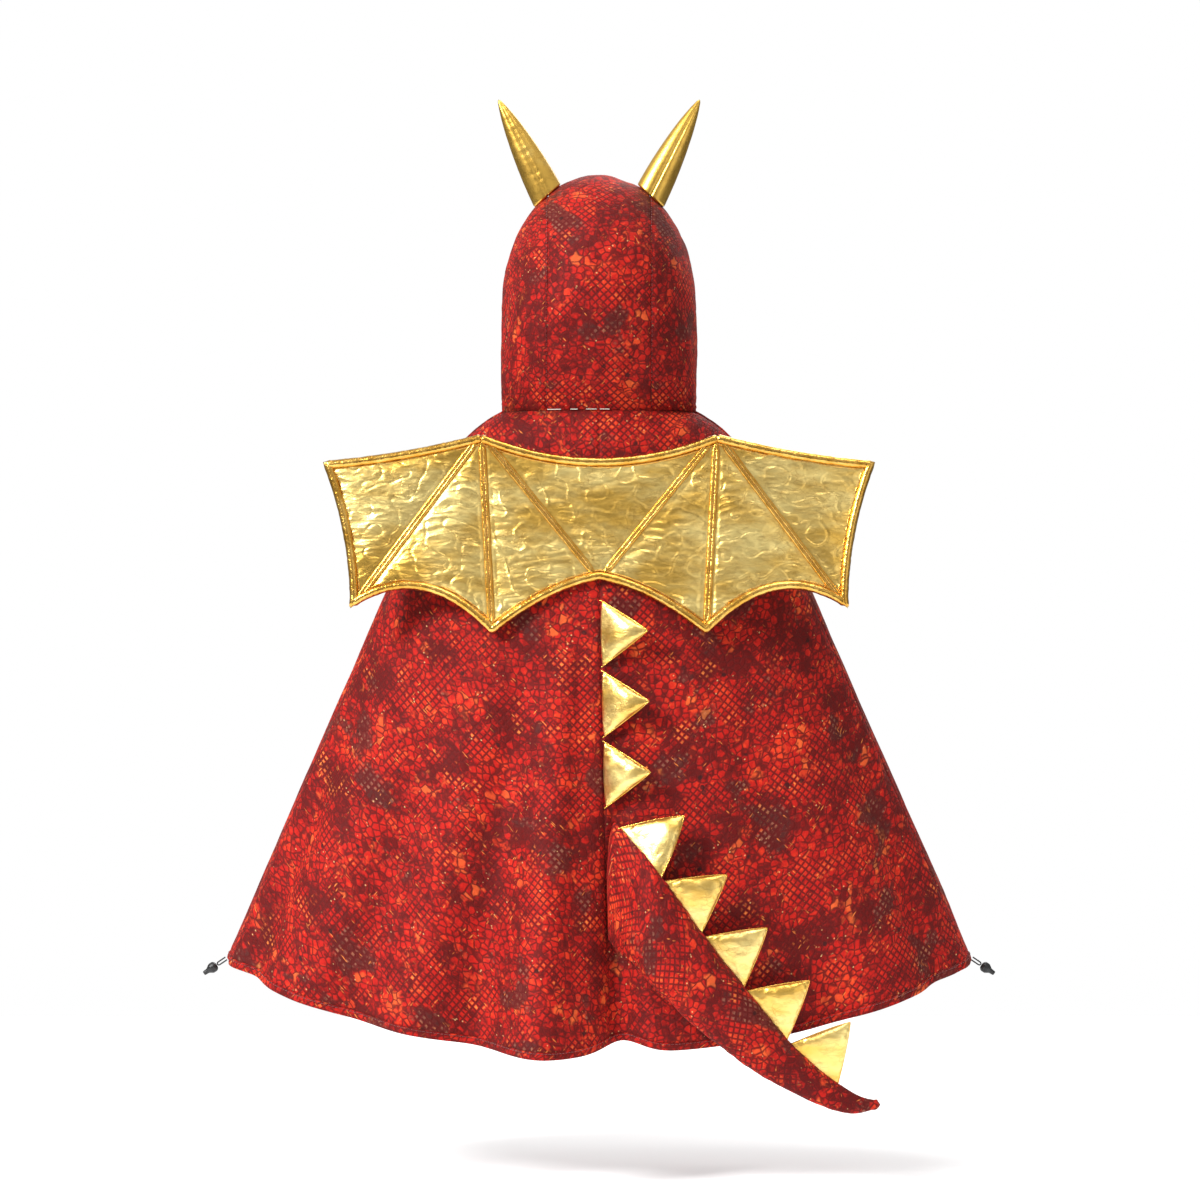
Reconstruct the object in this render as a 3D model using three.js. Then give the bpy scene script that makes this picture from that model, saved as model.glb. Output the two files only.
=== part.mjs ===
// Child's hooded dragon cape, standing as worn: millimetres, +Z up, wearer's back towards -Y.
// The origin is the middle of the neck opening, at the height of the neck seam.
import * as THREE from 'three';
import { LoftGeometry } from 'three/addons/geometries/LoftGeometry.js';

// sewing
const seamGap = 0.4; // between two pieces that meet in a seam
const plyGap = 0.4; // between two layers of cloth
const capeCloth = 2.0;
const liningCloth = 1.0;
const foilCloth = 0.8;

// neck opening
const neckHalfWidth = 107;
const neckHalfDepth = 75;
const throatAngle = 172; // front edges, counted in degrees from the centre of the back

// cape body
const flare = 0.434; // widening of the half width for each millimetre of drop
const depthFlare = 0.13;
const shoulderWidth = 42;
const shoulderDepth = 13;
const shoulderDrop = 28;
const sideDrop = 600;
const backDrop = 688;
const frontDrop = 628;
const hemBand = 9;
const facingWidth = 40; // degrees are worked out from this width at each height
const seamDrift = 1.7; // degrees that the centre back seam wanders at the hem
const neckTape = { height: 11, cloth: 1.0 };
const foldStart = 250; // drop at which the hanging folds begin
const folds = [
	{ at: - 9, half: 7, out: 26 },
	{ at: 3, half: 3.2, out: - 20 },
	{ at: - 52, half: 12, out: 8 },
	{ at: 48, half: 14, out: 9 },
	{ at: 128, half: 12, out: 10 },
	{ at: - 128, half: 12, out: 10 }
];

// hood
const hoodPivot = 65; // distance of the throat corners in front of the neck centre
const hoodRise = 118;
const hoodRound = 34;
const hoodFace = 105; // lean of the face opening, in degrees from the back of the neck
const hoodCorner = 142; // how far the side panels reach round to the throat
const hoodPanelHalf = 57; // half width of the middle panel
const bindingRadius = 3.5;

// horns
const horn = { length: 119, radius: 18.8, flat: 0.82, at: 76, lean: 27, tip: 2.2 };

// wings
const wing = {
	round: 560, // half width of the ellipse that the wing sheet bends along
	peak: [ 127, - 27 ], dip: - 53, tip: [ 299, - 56 ], corner: [ 268, - 216 ],
	point: [ 115, - 243 ], notch: - 184, sideCut: 8, scallop: 34, notchCut: 9,
	edgeFill: 0.8, fill: 9
};

// spikes
const spike = { reach: 55, edge: 1.3, puff: 10.5, standOff: 24 };
const backSpikes = { first: 206, last: 429, count: 3, gap: 3 };
const tailSpikes = { first: 22, last: 378, count: 5, gap: 3 };

// tail, as points of its ridge and its keel: across from the centre back seam, and height
const tailRidge = [ [ 0, - 432 ], [ 38, - 470 ], [ 62, - 504 ], [ 106, - 566 ], [ 152, - 626 ],
	[ 201, - 686 ], [ 256, - 729 ], [ 286, - 740 ] ];
const tailKeel = [ [ 0, - 566 ], [ 8, - 577 ], [ 22, - 589 ], [ 55, - 625 ], [ 98, - 666 ],
	[ 165, - 715 ], [ 243, - 751 ], [ 287, - 748 ] ];
const tailPuff = [ 2.6, 14, 21, 24, 22, 16, 10, 3.6 ];
const tailCloth = 1.2;

// closure at the throat
const tab = { top: 8, height: 24, left: 32, right: 34, cloth: 2, pad: 1 };

// drawcord pulls at the bottom of the side seams
const cord = { diameter: 1.6, apart: 3.4, drop: 12, angle: 34 };
const cordEnd = { radius: 6, length: 11, neck: 2.6, neckLength: 6 };

const rad = THREE.MathUtils.degToRad;
const lerp = THREE.MathUtils.lerp;
const clamp = THREE.MathUtils.clamp;

const redPrint = { color: 0xa01c18, roughness: 0.85, metalness: 0 };
const redLining = { color: 0x8c1a16, roughness: 0.8, metalness: 0 };
const goldFoil = { color: 0xd4a032, roughness: 0.4, metalness: 0.6 };
const filling = { color: 0xeeeae0, roughness: 1, metalness: 0 };
const blackPlastic = { color: 0x151515, roughness: 0.4, metalness: 0 };
const blackCord = { color: 0x1a1a1a, roughness: 0.8, metalness: 0 };
const fastener = { color: 0x701010, roughness: 0.95, metalness: 0 };

const cape = new THREE.Group();

function add( name, geometry, look, group = cape ) {

	const mesh = new THREE.Mesh( geometry, new THREE.MeshStandardMaterial( look ) );
	mesh.name = name;
	group.add( mesh );
	return mesh;

}

function signedVolume( geometry ) {

	const p = geometry.getAttribute( 'position' );
	const index = geometry.index.array;
	const corner = ( k ) => new THREE.Vector3().fromBufferAttribute( p, index[ k ] );
	let six = 0;
	for ( let i = 0; i < index.length; i += 3 ) six += corner( i ).dot( corner( i + 1 ).cross( corner( i + 2 ) ) );
	return six;

}

// A closed solid through a row of rings, each with the same number of points, with faces outward.
// Layers that lie on each other keep the same diagonals, so turned( row, column ) tells which to turn.
function loft( rings, turned = () => false ) {

	const made = new LoftGeometry( rings );
	const index = made.index.array;
	const columns = rings[ 0 ].length;
	for ( let k = 0; k < index.length; k += 6 ) {

		if ( ! turned( Math.floor( k / 6 / columns ), ( k / 6 ) % columns ) ) continue;
		const [ a, b, , , c, d ] = index.slice( k, k + 6 );
		index.set( [ a, b, c, a, c, d ], k );

	}

	if ( signedVolume( made ) < 0 ) {

		for ( let k = 0; k < index.length; k += 3 ) index.set( [ index[ k + 2 ], index[ k + 1 ], index[ k ] ], k );

	}

	made.computeVertexNormals();
	return made;

}

// Closes the ends of a row of rings on their middle points.
function capped( rings ) {

	const point = ( ring ) => {

		const middle = ring.reduce( ( sum, p ) => sum.add( p ), new THREE.Vector3() ).divideScalar( ring.length );
		return ring.map( () => middle.clone() );

	};

	return loft( [ point( rings[ 0 ] ), ...rings, point( rings.at( - 1 ) ) ] );

}

// A closed sheet between two surfaces of (u, v): rings run over the face and back under it,
// and the first and last rings close on the middle of the sheet.
function sheet( face, back, us, rows ) {

	const columns = typeof us === 'number' ? Array.from( { length: us + 1 }, ( _, i ) => i / us ) : us;
	const ring = ( v, closed ) => {

		const top = columns.map( ( u ) => face( u, v ) );
		const under = columns.map( ( u ) => back( u, v ) );
		if ( closed ) top.forEach( ( p, i ) => under[ i ].copy( p.lerp( under[ i ], 0.5 ) ) );
		return [ ...top, ...under.reverse() ];

	};

	const open = Array.from( { length: rows + 1 }, ( _, j ) => ring( j / rows, false ) );
	return loft( [ ring( 0, true ), ...open, ring( 1, true ) ], ( row, column ) => column >= columns.length );

}

// Steps across one or more spans that lie side by side, each { from, to, steps, spread }.
function columnsOf( spans ) {

	const columns = [];
	for ( const span of spans ) {

		const spread = span.spread || ( ( t ) => t );
		const first = columns.length ? 1 : 0;
		for ( let i = first; i <= span.steps; i ++ ) columns.push( { span, t: spread( i / span.steps ) } );

	}

	return columns;

}

// ---- cape body

const halfWidth = ( d ) => neckHalfWidth + shoulderWidth * ( 1 - Math.exp( - d / shoulderDrop ) ) + flare * d;
const halfDepth = ( d ) => neckHalfDepth + shoulderDepth * ( 1 - Math.exp( - d / ( shoulderDrop + 2 ) ) ) + depthFlare * d;

function hemDrop( angle ) {

	const centre = Math.abs( angle ) < 90 ? backDrop : frontDrop;
	return sideDrop + ( centre - sideDrop ) * Math.cos( rad( angle ) ) ** 2;

}

function foldOut( angle, drop ) {

	const grow = clamp( ( drop - foldStart ) / ( backDrop - foldStart ), 0, 1.1 ) ** 1.3;
	return grow * folds.reduce( ( sum, f ) => sum + f.out * Math.exp( - ( ( ( angle - f.at ) / f.half ) ** 2 ) ), 0 );

}

// A point of the cape at an angle round the body and a drop below the neck seam, moved out by a distance.
function capePoint( angle, drop, out ) {

	const a = halfWidth( drop );
	const b = halfDepth( drop );
	const s = Math.sin( rad( angle ) );
	const c = Math.cos( rad( angle ) );
	const n = new THREE.Vector2( s / a, - c / b ).normalize().multiplyScalar( out + foldOut( angle, drop ) );
	return new THREE.Vector3( a * s + n.x, - b * c + n.y, - drop );

}

// Degrees that a distance along the cloth takes up at this place.
function degreesFor( distance, angle, drop ) {

	const run = Math.hypot( halfWidth( drop ) * Math.cos( rad( angle ) ), halfDepth( drop ) * Math.sin( rad( angle ) ) );
	return THREE.MathUtils.radToDeg( distance / run );

}

const backSeam = ( drop ) => seamDrift * clamp( ( drop - 150 ) / ( backDrop - 150 ), 0, 1 );

const angleAt = ( column, drop ) => lerp( column.span.from( drop ), column.span.to( drop ), column.t );

// A piece of the cape over spans of angle: its end columns give up half of a seam gap each.
function capePiece( spans, outer, inner, rows, dropAt ) {

	const columns = columnsOf( spans );
	const last = columns.length - 1;
	const at = ( i, v, out ) => {

		const drop = dropAt( hemDrop( angleAt( columns[ i ], 300 ) ), v );
		const trim = ( i === 0 ? 1 : 0 ) - ( i === last ? 1 : 0 );
		const angle = angleAt( columns[ i ], drop );
		return capePoint( angle + trim * degreesFor( seamGap / 2, angle, drop ), drop, out );

	};

	return sheet( ( i, v ) => at( i, v, outer ), ( i, v ) => at( i, v, inner ), columns.map( ( _, i ) => i ), rows );

}

const bodyRows = 8;
const tapeDrop = seamGap + neckTape.height;

// the first row of a panel ends with the neck tape, and the rest grow longer towards the hem
function panelDrop( hem, v ) {

	const first = 1 / bodyRows;
	if ( v <= first ) return v / first * tapeDrop;
	return tapeDrop + ( ( v - first ) / ( 1 - first ) ) ** 1.4 * ( hem - hemBand - seamGap - tapeDrop );

}

const bandDrop = ( hem, v ) => hem - hemBand * ( 1 - v );
const towardsStart = ( u ) => u ** 1.6;
const towardsEnd = ( u ) => 1 - ( 1 - u ) ** 1.6;
const leftSide = () => - 90;
const rightSide = () => 90;
const leftFront = () => - throatAngle;
const rightFront = () => throatAngle;
const leftFacing = ( drop ) => - throatAngle + degreesFor( facingWidth, throatAngle, drop );
const rightFacing = ( drop ) => throatAngle - degreesFor( facingWidth, throatAngle, drop );
const liningOut = - capeCloth - plyGap;
const liningIn = liningOut - liningCloth;

const backLeft = { from: leftSide, to: backSeam, steps: 9, spread: towardsEnd };
const backRight = { from: backSeam, to: rightSide, steps: 9, spread: towardsStart };
const facingLeft = { from: leftFront, to: leftFacing, steps: 1 };
const facingRight = { from: rightFacing, to: rightFront, steps: 1 };
const frontLeft = { from: leftFacing, to: leftSide, steps: 5 };
const frontRight = { from: rightSide, to: rightFacing, steps: 5 };

function buildBody() {

	const panel = ( spans ) => capePiece( spans, 0, - capeCloth, bodyRows, panelDrop );
	const under = ( spans ) => capePiece( spans, liningOut, liningIn, bodyRows, panelDrop );
	add( 'back_left_panel', panel( [ backLeft ] ), redPrint );
	add( 'back_right_panel', panel( [ backRight ] ), redPrint );
	add( 'front_left_panel', panel( [ facingLeft, frontLeft ] ), redPrint );
	add( 'front_right_panel', panel( [ frontRight, facingRight ] ), redPrint );
	add( 'back_lining', under( [ backLeft, backRight ] ), redLining );
	add( 'front_left_lining', under( [ frontLeft ] ), redLining );
	add( 'front_right_lining', under( [ frontRight ] ), redLining );
	add( 'front_left_facing', under( [ facingLeft ] ), redPrint );
	add( 'front_right_facing', under( [ facingRight ] ), redPrint );

}

function buildHem() {

	const strip = ( spans ) => capePiece( spans, 0.4, liningIn - 0.4, 1, bandDrop );
	add( 'hem_band_back', strip( [ backLeft, backRight ] ), redPrint );
	add( 'hem_band_front_left', strip( [ facingLeft, frontLeft ] ), redPrint );
	add( 'hem_band_front_right', strip( [ frontRight, facingRight ] ), redPrint );

}

function buildNeckTape() {

	const outer = liningIn - plyGap;
	const dropAt = ( hem, v ) => lerp( seamGap, tapeDrop, v );
	const all = [ facingLeft, frontLeft, backLeft, backRight, frontRight, facingRight ];
	add( 'neck_tape', capePiece( all, outer, outer - neckTape.cloth, 1, dropAt ), redLining );

}

// ---- hood: arches that fan out from the throat corners, from the neck seam over the crown to the face

function hoodRadius( fan ) {

	const s = Math.sin( rad( fan ) );
	return hoodPivot + neckHalfDepth + hoodRise * s ** 1.5 + hoodRound * Math.sin( rad( 2 * fan ) );

}

const archHigh = neckHalfDepth / ( hoodPivot + neckHalfDepth ); // share of the radius above the arch's middle

function hoodSurface( angle, fan ) {

	const reach = hoodRadius( fan ) * ( 1 - archHigh + archHigh * Math.cos( rad( angle ) ) );
	return new THREE.Vector3(
		neckHalfWidth * Math.sin( rad( angle ) ),
		hoodPivot - reach * Math.cos( rad( fan ) ),
		reach * Math.sin( rad( fan ) ) + seamGap
	);

}

function hoodPoint( angle, fan, out ) {

	const step = 0.5;
	const p = hoodSurface( angle, fan );
	const across = hoodSurface( angle + step, fan ).sub( hoodSurface( angle - step, fan ) );
	const along = hoodSurface( angle, fan + step ).sub( hoodSurface( angle, Math.max( fan - step, 0 ) ) );
	p.addScaledVector( along.cross( across ).normalize(), - out );
	p.z = Math.max( p.z, seamGap );
	return p;

}

function hoodPiece( spans, outer, inner ) {

	const columns = columnsOf( spans );
	const last = columns.length - 1;
	const half = THREE.MathUtils.radToDeg( seamGap / 2 / neckHalfWidth );
	const at = ( i, v, out ) => {

		const trim = ( i === 0 ? half : 0 ) - ( i === last ? half : 0 );
		return hoodPoint( angleAt( columns[ i ] ) + trim, lerp( 0, hoodFace, v ), out );

	};

	return sheet( ( i, v ) => at( i, v, outer ), ( i, v ) => at( i, v, inner ), columns.map( ( _, i ) => i ), 8 );

}

function buildHood() {

	const seam = THREE.MathUtils.radToDeg( Math.asin( hoodPanelHalf / neckHalfWidth ) );
	const left = { from: () => - hoodCorner, to: () => - seam, steps: 7 };
	const middle = { from: () => - seam, to: () => seam, steps: 4 };
	const right = { from: () => seam, to: () => hoodCorner, steps: 7 };
	add( 'hood_left_panel', hoodPiece( [ left ], 0, - capeCloth ), redPrint );
	add( 'hood_center_panel', hoodPiece( [ middle ], 0, - capeCloth ), redPrint );
	add( 'hood_right_panel', hoodPiece( [ right ], 0, - capeCloth ), redPrint );
	add( 'hood_lining', hoodPiece( [ left, middle, right ], liningOut, liningIn ), redLining );
	buildBinding();

}

function buildBinding() {

	// the binding lies in front of the panels' front edge, along the same arch
	const centre = - capeCloth / 2;
	const forward = bindingRadius + seamGap;
	const rings = [];
	const count = 20;
	for ( let i = 0; i <= count; i ++ ) {

		const angle = lerp( - hoodCorner, hoodCorner, i / count );
		const middle = hoodPoint( angle, hoodFace, centre );
		const out = hoodPoint( angle, hoodFace, centre + 1 ).sub( middle ).setComponent( 1, 0 ).normalize();
		const ahead = new THREE.Vector3( 0, Math.sin( rad( hoodFace ) ), Math.cos( rad( hoodFace ) ) );
		middle.addScaledVector( ahead, forward );
		rings.push( Array.from( { length: 6 }, ( _, k ) => {

			const t = k / 6 * Math.PI * 2;
			return middle.clone().addScaledVector( ahead, bindingRadius * Math.cos( t ) ).addScaledVector( out, - bindingRadius * Math.sin( t ) );

		} ) );

	}

	add( 'hood_face_binding', capped( rings ), redPrint );

}

// ---- stuffed horns, seated on the hood's panel seams, with their own seams down the back and the front

function outsideHood( p ) {

	const y = hoodPivot - p.y;
	const z = p.z - seamGap;
	const fan = THREE.MathUtils.radToDeg( Math.atan2( z, y ) );
	const reach = Math.hypot( y, z ) / hoodRadius( fan );
	return ( p.x / neckHalfWidth ) ** 2 + ( ( reach - 1 + archHigh ) / archHigh ) ** 2 - 1;

}

const hornClear = horn.radius * 0.039; // room between the hood's flat facets and the foot of a horn
const hornRadius = ( t ) => Math.max( horn.radius * ( 1 - t ** 1.6 ) ** 0.72, horn.tip );

function hornRing( side, t, inset, from, to, count ) {

	const seam = THREE.MathUtils.radToDeg( Math.asin( hoodPanelHalf / neckHalfWidth ) );
	const root = hoodSurface( side * seam, horn.at );
	const up = new THREE.Vector3( side * Math.sin( rad( horn.lean ) ), 0, Math.cos( rad( horn.lean ) ) );
	const across = new THREE.Vector3( side * up.z, 0, - side * up.x );
	return Array.from( { length: count + 1 }, ( _, i ) => {

		const turn = rad( lerp( from, to, i / count ) );
		const r = hornRadius( t ) - inset;
		const p = root.clone().addScaledVector( across, r * Math.cos( turn ) );
		p.y += r * horn.flat * Math.sin( turn );
		let low = - 30;
		let high = 40;
		for ( let k = 0; k < 30; k ++ ) {

			const middle = ( low + high ) / 2;
			if ( outsideHood( p.clone().addScaledVector( up, middle ) ) > 0 ) high = middle;
			else low = middle;

		}

		return p.addScaledVector( up, lerp( high + hornClear, horn.length, t ) );

	} );

}

const hornRows = 5;
const hornSides = 10;

function hornHalf( side, from, to ) {

	const count = hornSides / 2;
	const surface = ( inset ) => Array.from( { length: hornRows + 1 }, ( _, j ) => {

		const t = j / hornRows;
		const trim = THREE.MathUtils.radToDeg( seamGap / 2 / hornRadius( t ) );
		return hornRing( side, t, inset, from + trim, to - trim, count );

	} );
	const outer = surface( 0 );
	const inner = surface( foilCloth );
	const pick = ( grid ) => ( u, v ) => grid[ Math.round( v * hornRows ) ][ Math.round( u * count ) ].clone();
	return sheet( pick( outer ), pick( inner ), count, hornRows );

}

function hornFilling( side ) {

	const inset = foilCloth + plyGap;
	const levels = Array.from( { length: hornRows }, ( _, j ) => j / hornRows );
	return capped( [ ...levels, 0.94 ].map( ( t ) => hornRing( side, t, inset, - 90, 270, hornSides ).slice( 0, hornSides ) ) );

}

function buildHorns() {

	for ( const [ name, side ] of [ [ 'left', - 1 ], [ 'right', 1 ] ] ) {

		add( `horn_${ name }_outer_cover`, hornHalf( side, - 90, 90 ), goldFoil );
		add( `horn_${ name }_inner_cover`, hornHalf( side, 90, 270 ), goldFoil );
		add( `horn_${ name }_stuffing`, hornFilling( side ), filling );

	}

}

// ---- wings: a quilted sheet in three leaves, creased along the two outer ribs

function wingPoint( p, out ) {

	const depth = neckHalfDepth + shoulderDepth + plyGap - depthFlare * p.y;
	return new THREE.Vector3( p.x, - depth * Math.sqrt( 1 - ( p.x / wing.round ) ** 2 ) - out, p.y );

}

const bow = ( a, b, rise, t ) => new THREE.Vector2( lerp( a[ 0 ], b[ 0 ], t ), lerp( a[ 1 ], b[ 1 ], t ) + rise * 4 * t * ( 1 - t ) );

// Fills a four-sided outline from its edge curves.
function coons( top, bottom, start, end ) {

	return ( u, v ) => {

		const p = top( u ).multiplyScalar( 1 - v ).addScaledVector( bottom( u ), v );
		p.addScaledVector( start( v ), 1 - u ).addScaledVector( end( v ), u );
		p.addScaledVector( top( 0 ), - ( 1 - u ) * ( 1 - v ) ).addScaledVector( top( 1 ), - u * ( 1 - v ) );
		return p.addScaledVector( bottom( 0 ), - ( 1 - u ) * v ).addScaledVector( bottom( 1 ), - u * v );

	};

}

function wingLeaf( name, patch, nu, nv, ribs ) {

	const swell = ( u, v ) => {

		const across = Math.abs( Math.sin( Math.PI * u * ribs ) );
		return wing.edgeFill + wing.fill * Math.sqrt( across * Math.sin( Math.PI * v ) );

	};

	const layer = ( low, high ) => sheet(
		( u, v ) => wingPoint( patch( u, v ), high( u, v ) ),
		( u, v ) => wingPoint( patch( u, v ), low( u, v ) ), nu, nv );
	const under = () => 0;
	const overBack = () => foilCloth;
	const fillLow = () => foilCloth + plyGap;
	const fillHigh = ( u, v ) => fillLow() + swell( u, v );
	const coverLow = ( u, v ) => fillHigh( u, v ) + plyGap;
	const coverHigh = ( u, v ) => coverLow( u, v ) + foilCloth;
	add( `wing_${ name }_backing`, layer( under, overBack ), goldFoil );
	add( `wing_${ name }_padding`, layer( fillLow, fillHigh ), filling );
	add( `wing_${ name }_cover`, layer( coverLow, coverHigh ), goldFoil );

}

function buildWings() {

	const { peak, tip, corner, point } = wing;
	const inset = seamGap / 2;
	const flip = ( p ) => [ - p[ 0 ], p[ 1 ] ];

	// an outer leaf, from its tip (u = 0) to the crease (u = 1)
	const outer = coons(
		( u ) => bow( tip, [ peak[ 0 ] + inset, peak[ 1 ] ], - 4, u ),
		( u ) => bow( corner, [ point[ 0 ] + inset, point[ 1 ] ], wing.scallop, u ),
		( v ) => bow( tip, corner, 0, v ).add( new THREE.Vector2( - wing.sideCut * 4 * v * ( 1 - v ), 0 ) ),
		( v ) => bow( [ peak[ 0 ] + inset, peak[ 1 ] ], [ point[ 0 ] + inset, point[ 1 ] ], 0, v ) );
	const mirrored = ( u, v ) => {

		const p = outer( 1 - u, v );
		p.x = - p.x;
		return p;

	};

	wingLeaf( 'right', ( u, v ) => outer( 1 - u, v ), 7, 5, 1 );
	wingLeaf( 'left', ( u, v ) => mirrored( 1 - u, v ), 7, 5, 1 );

	const leftPeak = flip( [ peak[ 0 ] - inset, peak[ 1 ] ] );
	const rightPeak = [ peak[ 0 ] - inset, peak[ 1 ] ];
	const leftPoint = flip( [ point[ 0 ] - inset, point[ 1 ] ] );
	const rightPoint = [ point[ 0 ] - inset, point[ 1 ] ];
	const middle = coons(
		( u ) => bow( leftPeak, rightPeak, wing.dip - peak[ 1 ], u ),
		( u ) => u < 0.5 ? bow( leftPoint, [ 0, wing.notch ], wing.notchCut, u * 2 ) : bow( [ 0, wing.notch ], rightPoint, wing.notchCut, u * 2 - 1 ),
		( v ) => bow( leftPeak, leftPoint, 0, v ),
		( v ) => bow( rightPeak, rightPoint, 0, v ) );
	wingLeaf( 'center', middle, 10, 5, 2 );

}

// ---- stuffed spikes, built in their own frame: base along Z, pointing along +X, puffed along Y

const spikeRows = 4;
const spikeSides = 8;

function spikeRings( base, inset ) {

	const rings = [];
	const reach = spike.reach - inset * 2;
	for ( let j = 0; j < spikeRows; j ++ ) {

		const v = j / spikeRows;
		const half = base / 2 * ( 1 - v ) ** 0.9 - inset;
		const thick = lerp( spike.edge, spike.puff, Math.sin( Math.PI * 0.86 * v ) ) - inset;
		rings.push( Array.from( { length: spikeSides }, ( _, k ) => {

			const t = k / spikeSides * Math.PI * 2;
			return new THREE.Vector3( reach * v, Math.max( thick, 0.3 ) * Math.sin( t ), Math.max( half, 0.4 ) * Math.cos( t ) );

		} ) );

	}

	rings.push( Array.from( { length: spikeSides }, () => new THREE.Vector3( reach, 0, 0 ) ) );
	return rings;

}

function buildSpike( name, base, place ) {

	const holder = new THREE.Group();
	holder.applyMatrix4( place );
	cape.add( holder );
	const cup = [ ...spikeRings( base, foilCloth * 0.6 ).reverse(), ...spikeRings( base, 0 ) ];
	add( `${ name }_cover`, loft( cup, ( row ) => row < spikeRows ), goldFoil, holder );
	add( `${ name }_stuffing`, capped( spikeRings( base, foilCloth * 0.6 + 0.35 ) ), filling, holder );

}

// A frame at the middle of a base line, whose X axis leans out from the cloth.
function baseFrame( start, end, outward ) {

	const up = start.clone().sub( end ).normalize();
	const side = outward.clone().addScaledVector( up, - outward.dot( up ) ).normalize();
	const frame = new THREE.Matrix4().makeBasis( side, up.clone().cross( side ), up );
	return frame.setPosition( start.clone().add( end ).multiplyScalar( 0.5 ) );

}

function seatedPoint( drop, out ) {

	return capePoint( backSeam( drop ), drop, out );

}

function buildBackSpikes() {

	const pitch = ( backSpikes.last - backSpikes.first + backSpikes.gap ) / backSpikes.count;
	const base = pitch - backSpikes.gap;
	for ( let i = 0; i < backSpikes.count; i ++ ) {

		const top = backSpikes.first + i * pitch;
		const out = spike.edge + plyGap;
		const start = seatedPoint( top, out );
		const end = seatedPoint( top + base, out );
		const lean = rad( spike.standOff );
		const outward = new THREE.Vector3( Math.cos( lean ), - Math.sin( lean ), 0 );
		buildSpike( `back_spike_${ i + 1 }`, start.distanceTo( end ), baseFrame( start, end, outward ) );

	}

}

// ---- tail

const flatCurve = ( points ) => new THREE.CatmullRomCurve3( points.map( ( p ) => new THREE.Vector3( p[ 0 ], 0, p[ 1 ] ) ), false, 'catmullrom', 0.5 );
const ridgeCurve = flatCurve( tailRidge );
const keelCurve = flatCurve( tailKeel );
const puffCurve = flatCurve( tailPuff.map( ( p, i ) => [ i, p ] ) );
const seamAcross = ( drop ) => seatedPoint( drop, 0 ).x;

// How far the middle of the tail stands out behind the wearer at this place.
function tailDepth( x, z, puff ) {

	const drop = - z;
	const a = halfWidth( drop );
	const angle = THREE.MathUtils.radToDeg( Math.asin( clamp( x / a, - 1, 1 ) ) );
	return - capePoint( angle, drop, 0 ).y + puff + plyGap * 1.6;

}

function tailSection( v ) {

	const ridge = ridgeCurve.getPoint( v );
	const keel = keelCurve.getPoint( v );
	const shift = seamAcross( ( - ridge.z - keel.z ) / 2 ) + plyGap;
	ridge.x += shift;
	keel.x += shift;
	const puff = Math.max( puffCurve.getPoint( v ).z, tailPuff.at( - 1 ) );
	const middle = ridge.clone().add( keel ).multiplyScalar( 0.5 );
	ridge.y = - tailDepth( ridge.x, ridge.z, puff );
	keel.y = - tailDepth( keel.x, keel.z, puff );
	middle.y = Math.min( - tailDepth( middle.x, middle.z, puff ), ( ridge.y + keel.y ) / 2 );
	const half = ridge.clone().sub( keel ).multiplyScalar( 0.5 );
	return { middle, half, puff };

}

function tailPoint( v, inset, turn ) {

	const { middle, half, puff } = tailSection( v );
	const along = half.clone().normalize();
	const p = middle.clone().addScaledVector( along, ( half.length() - inset ) * Math.cos( rad( turn ) ) );
	p.y -= Math.max( puff - inset, 0.4 ) * Math.sin( rad( turn ) );
	return p;

}

const tailRows = 12;
const tailSides = 12;

function tailHalf( from, to ) {

	const at = ( u, v, inset ) => {

		const trim = THREE.MathUtils.radToDeg( seamGap / 2 / tailSection( v ).puff );
		return tailPoint( v, inset, lerp( from + trim, to - trim, u ) );

	};

	return sheet( ( u, v ) => at( u, v, 0 ), ( u, v ) => at( u, v, tailCloth ), tailSides / 2, tailRows );

}

function tailFilling() {

	const levels = Array.from( { length: tailRows }, ( _, j ) => j / tailRows );
	const ring = ( v ) => Array.from( { length: tailSides }, ( _, i ) => tailPoint( v, tailCloth + plyGap * 1.5, i * 360 / tailSides ) );
	return capped( [ ...levels, 0.97 ].map( ring ) );

}

function buildTail() {

	add( 'tail_outer_half', tailHalf( 0, 180 ), redPrint );
	add( 'tail_inner_half', tailHalf( 180, 360 ), redPrint );
	add( 'tail_stuffing', tailFilling(), filling );

}

const onTailRidge = ( distance ) => tailPoint( ridgeCurve.getUtoTmapping( distance / ridgeCurve.getLength() ), 0, 0 );

function buildTailSpikes() {

	const pitch = ( tailSpikes.last - tailSpikes.first + tailSpikes.gap ) / tailSpikes.count;
	for ( let i = 0; i < tailSpikes.count; i ++ ) {

		const from = tailSpikes.first + i * pitch;
		const start = onTailRidge( from );
		const end = onTailRidge( from + pitch - tailSpikes.gap );
		const outward = new THREE.Vector3( start.z - end.z, 0, end.x - start.x ).normalize();
		const middle = onTailRidge( from + ( pitch - tailSpikes.gap ) / 2 );
		const bulge = middle.sub( start.clone().add( end ).multiplyScalar( 0.5 ) ).dot( outward );
		const clear = plyGap * 2 + Math.max( bulge, 0 );
		start.addScaledVector( outward, clear );
		end.addScaledVector( outward, clear );
		buildSpike( `tail_spike_${ i + 1 }`, start.distanceTo( end ), baseFrame( start, end, outward ) );

	}

}

// ---- throat closure: a tab sewn to the left front edge that closes over the right one

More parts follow.
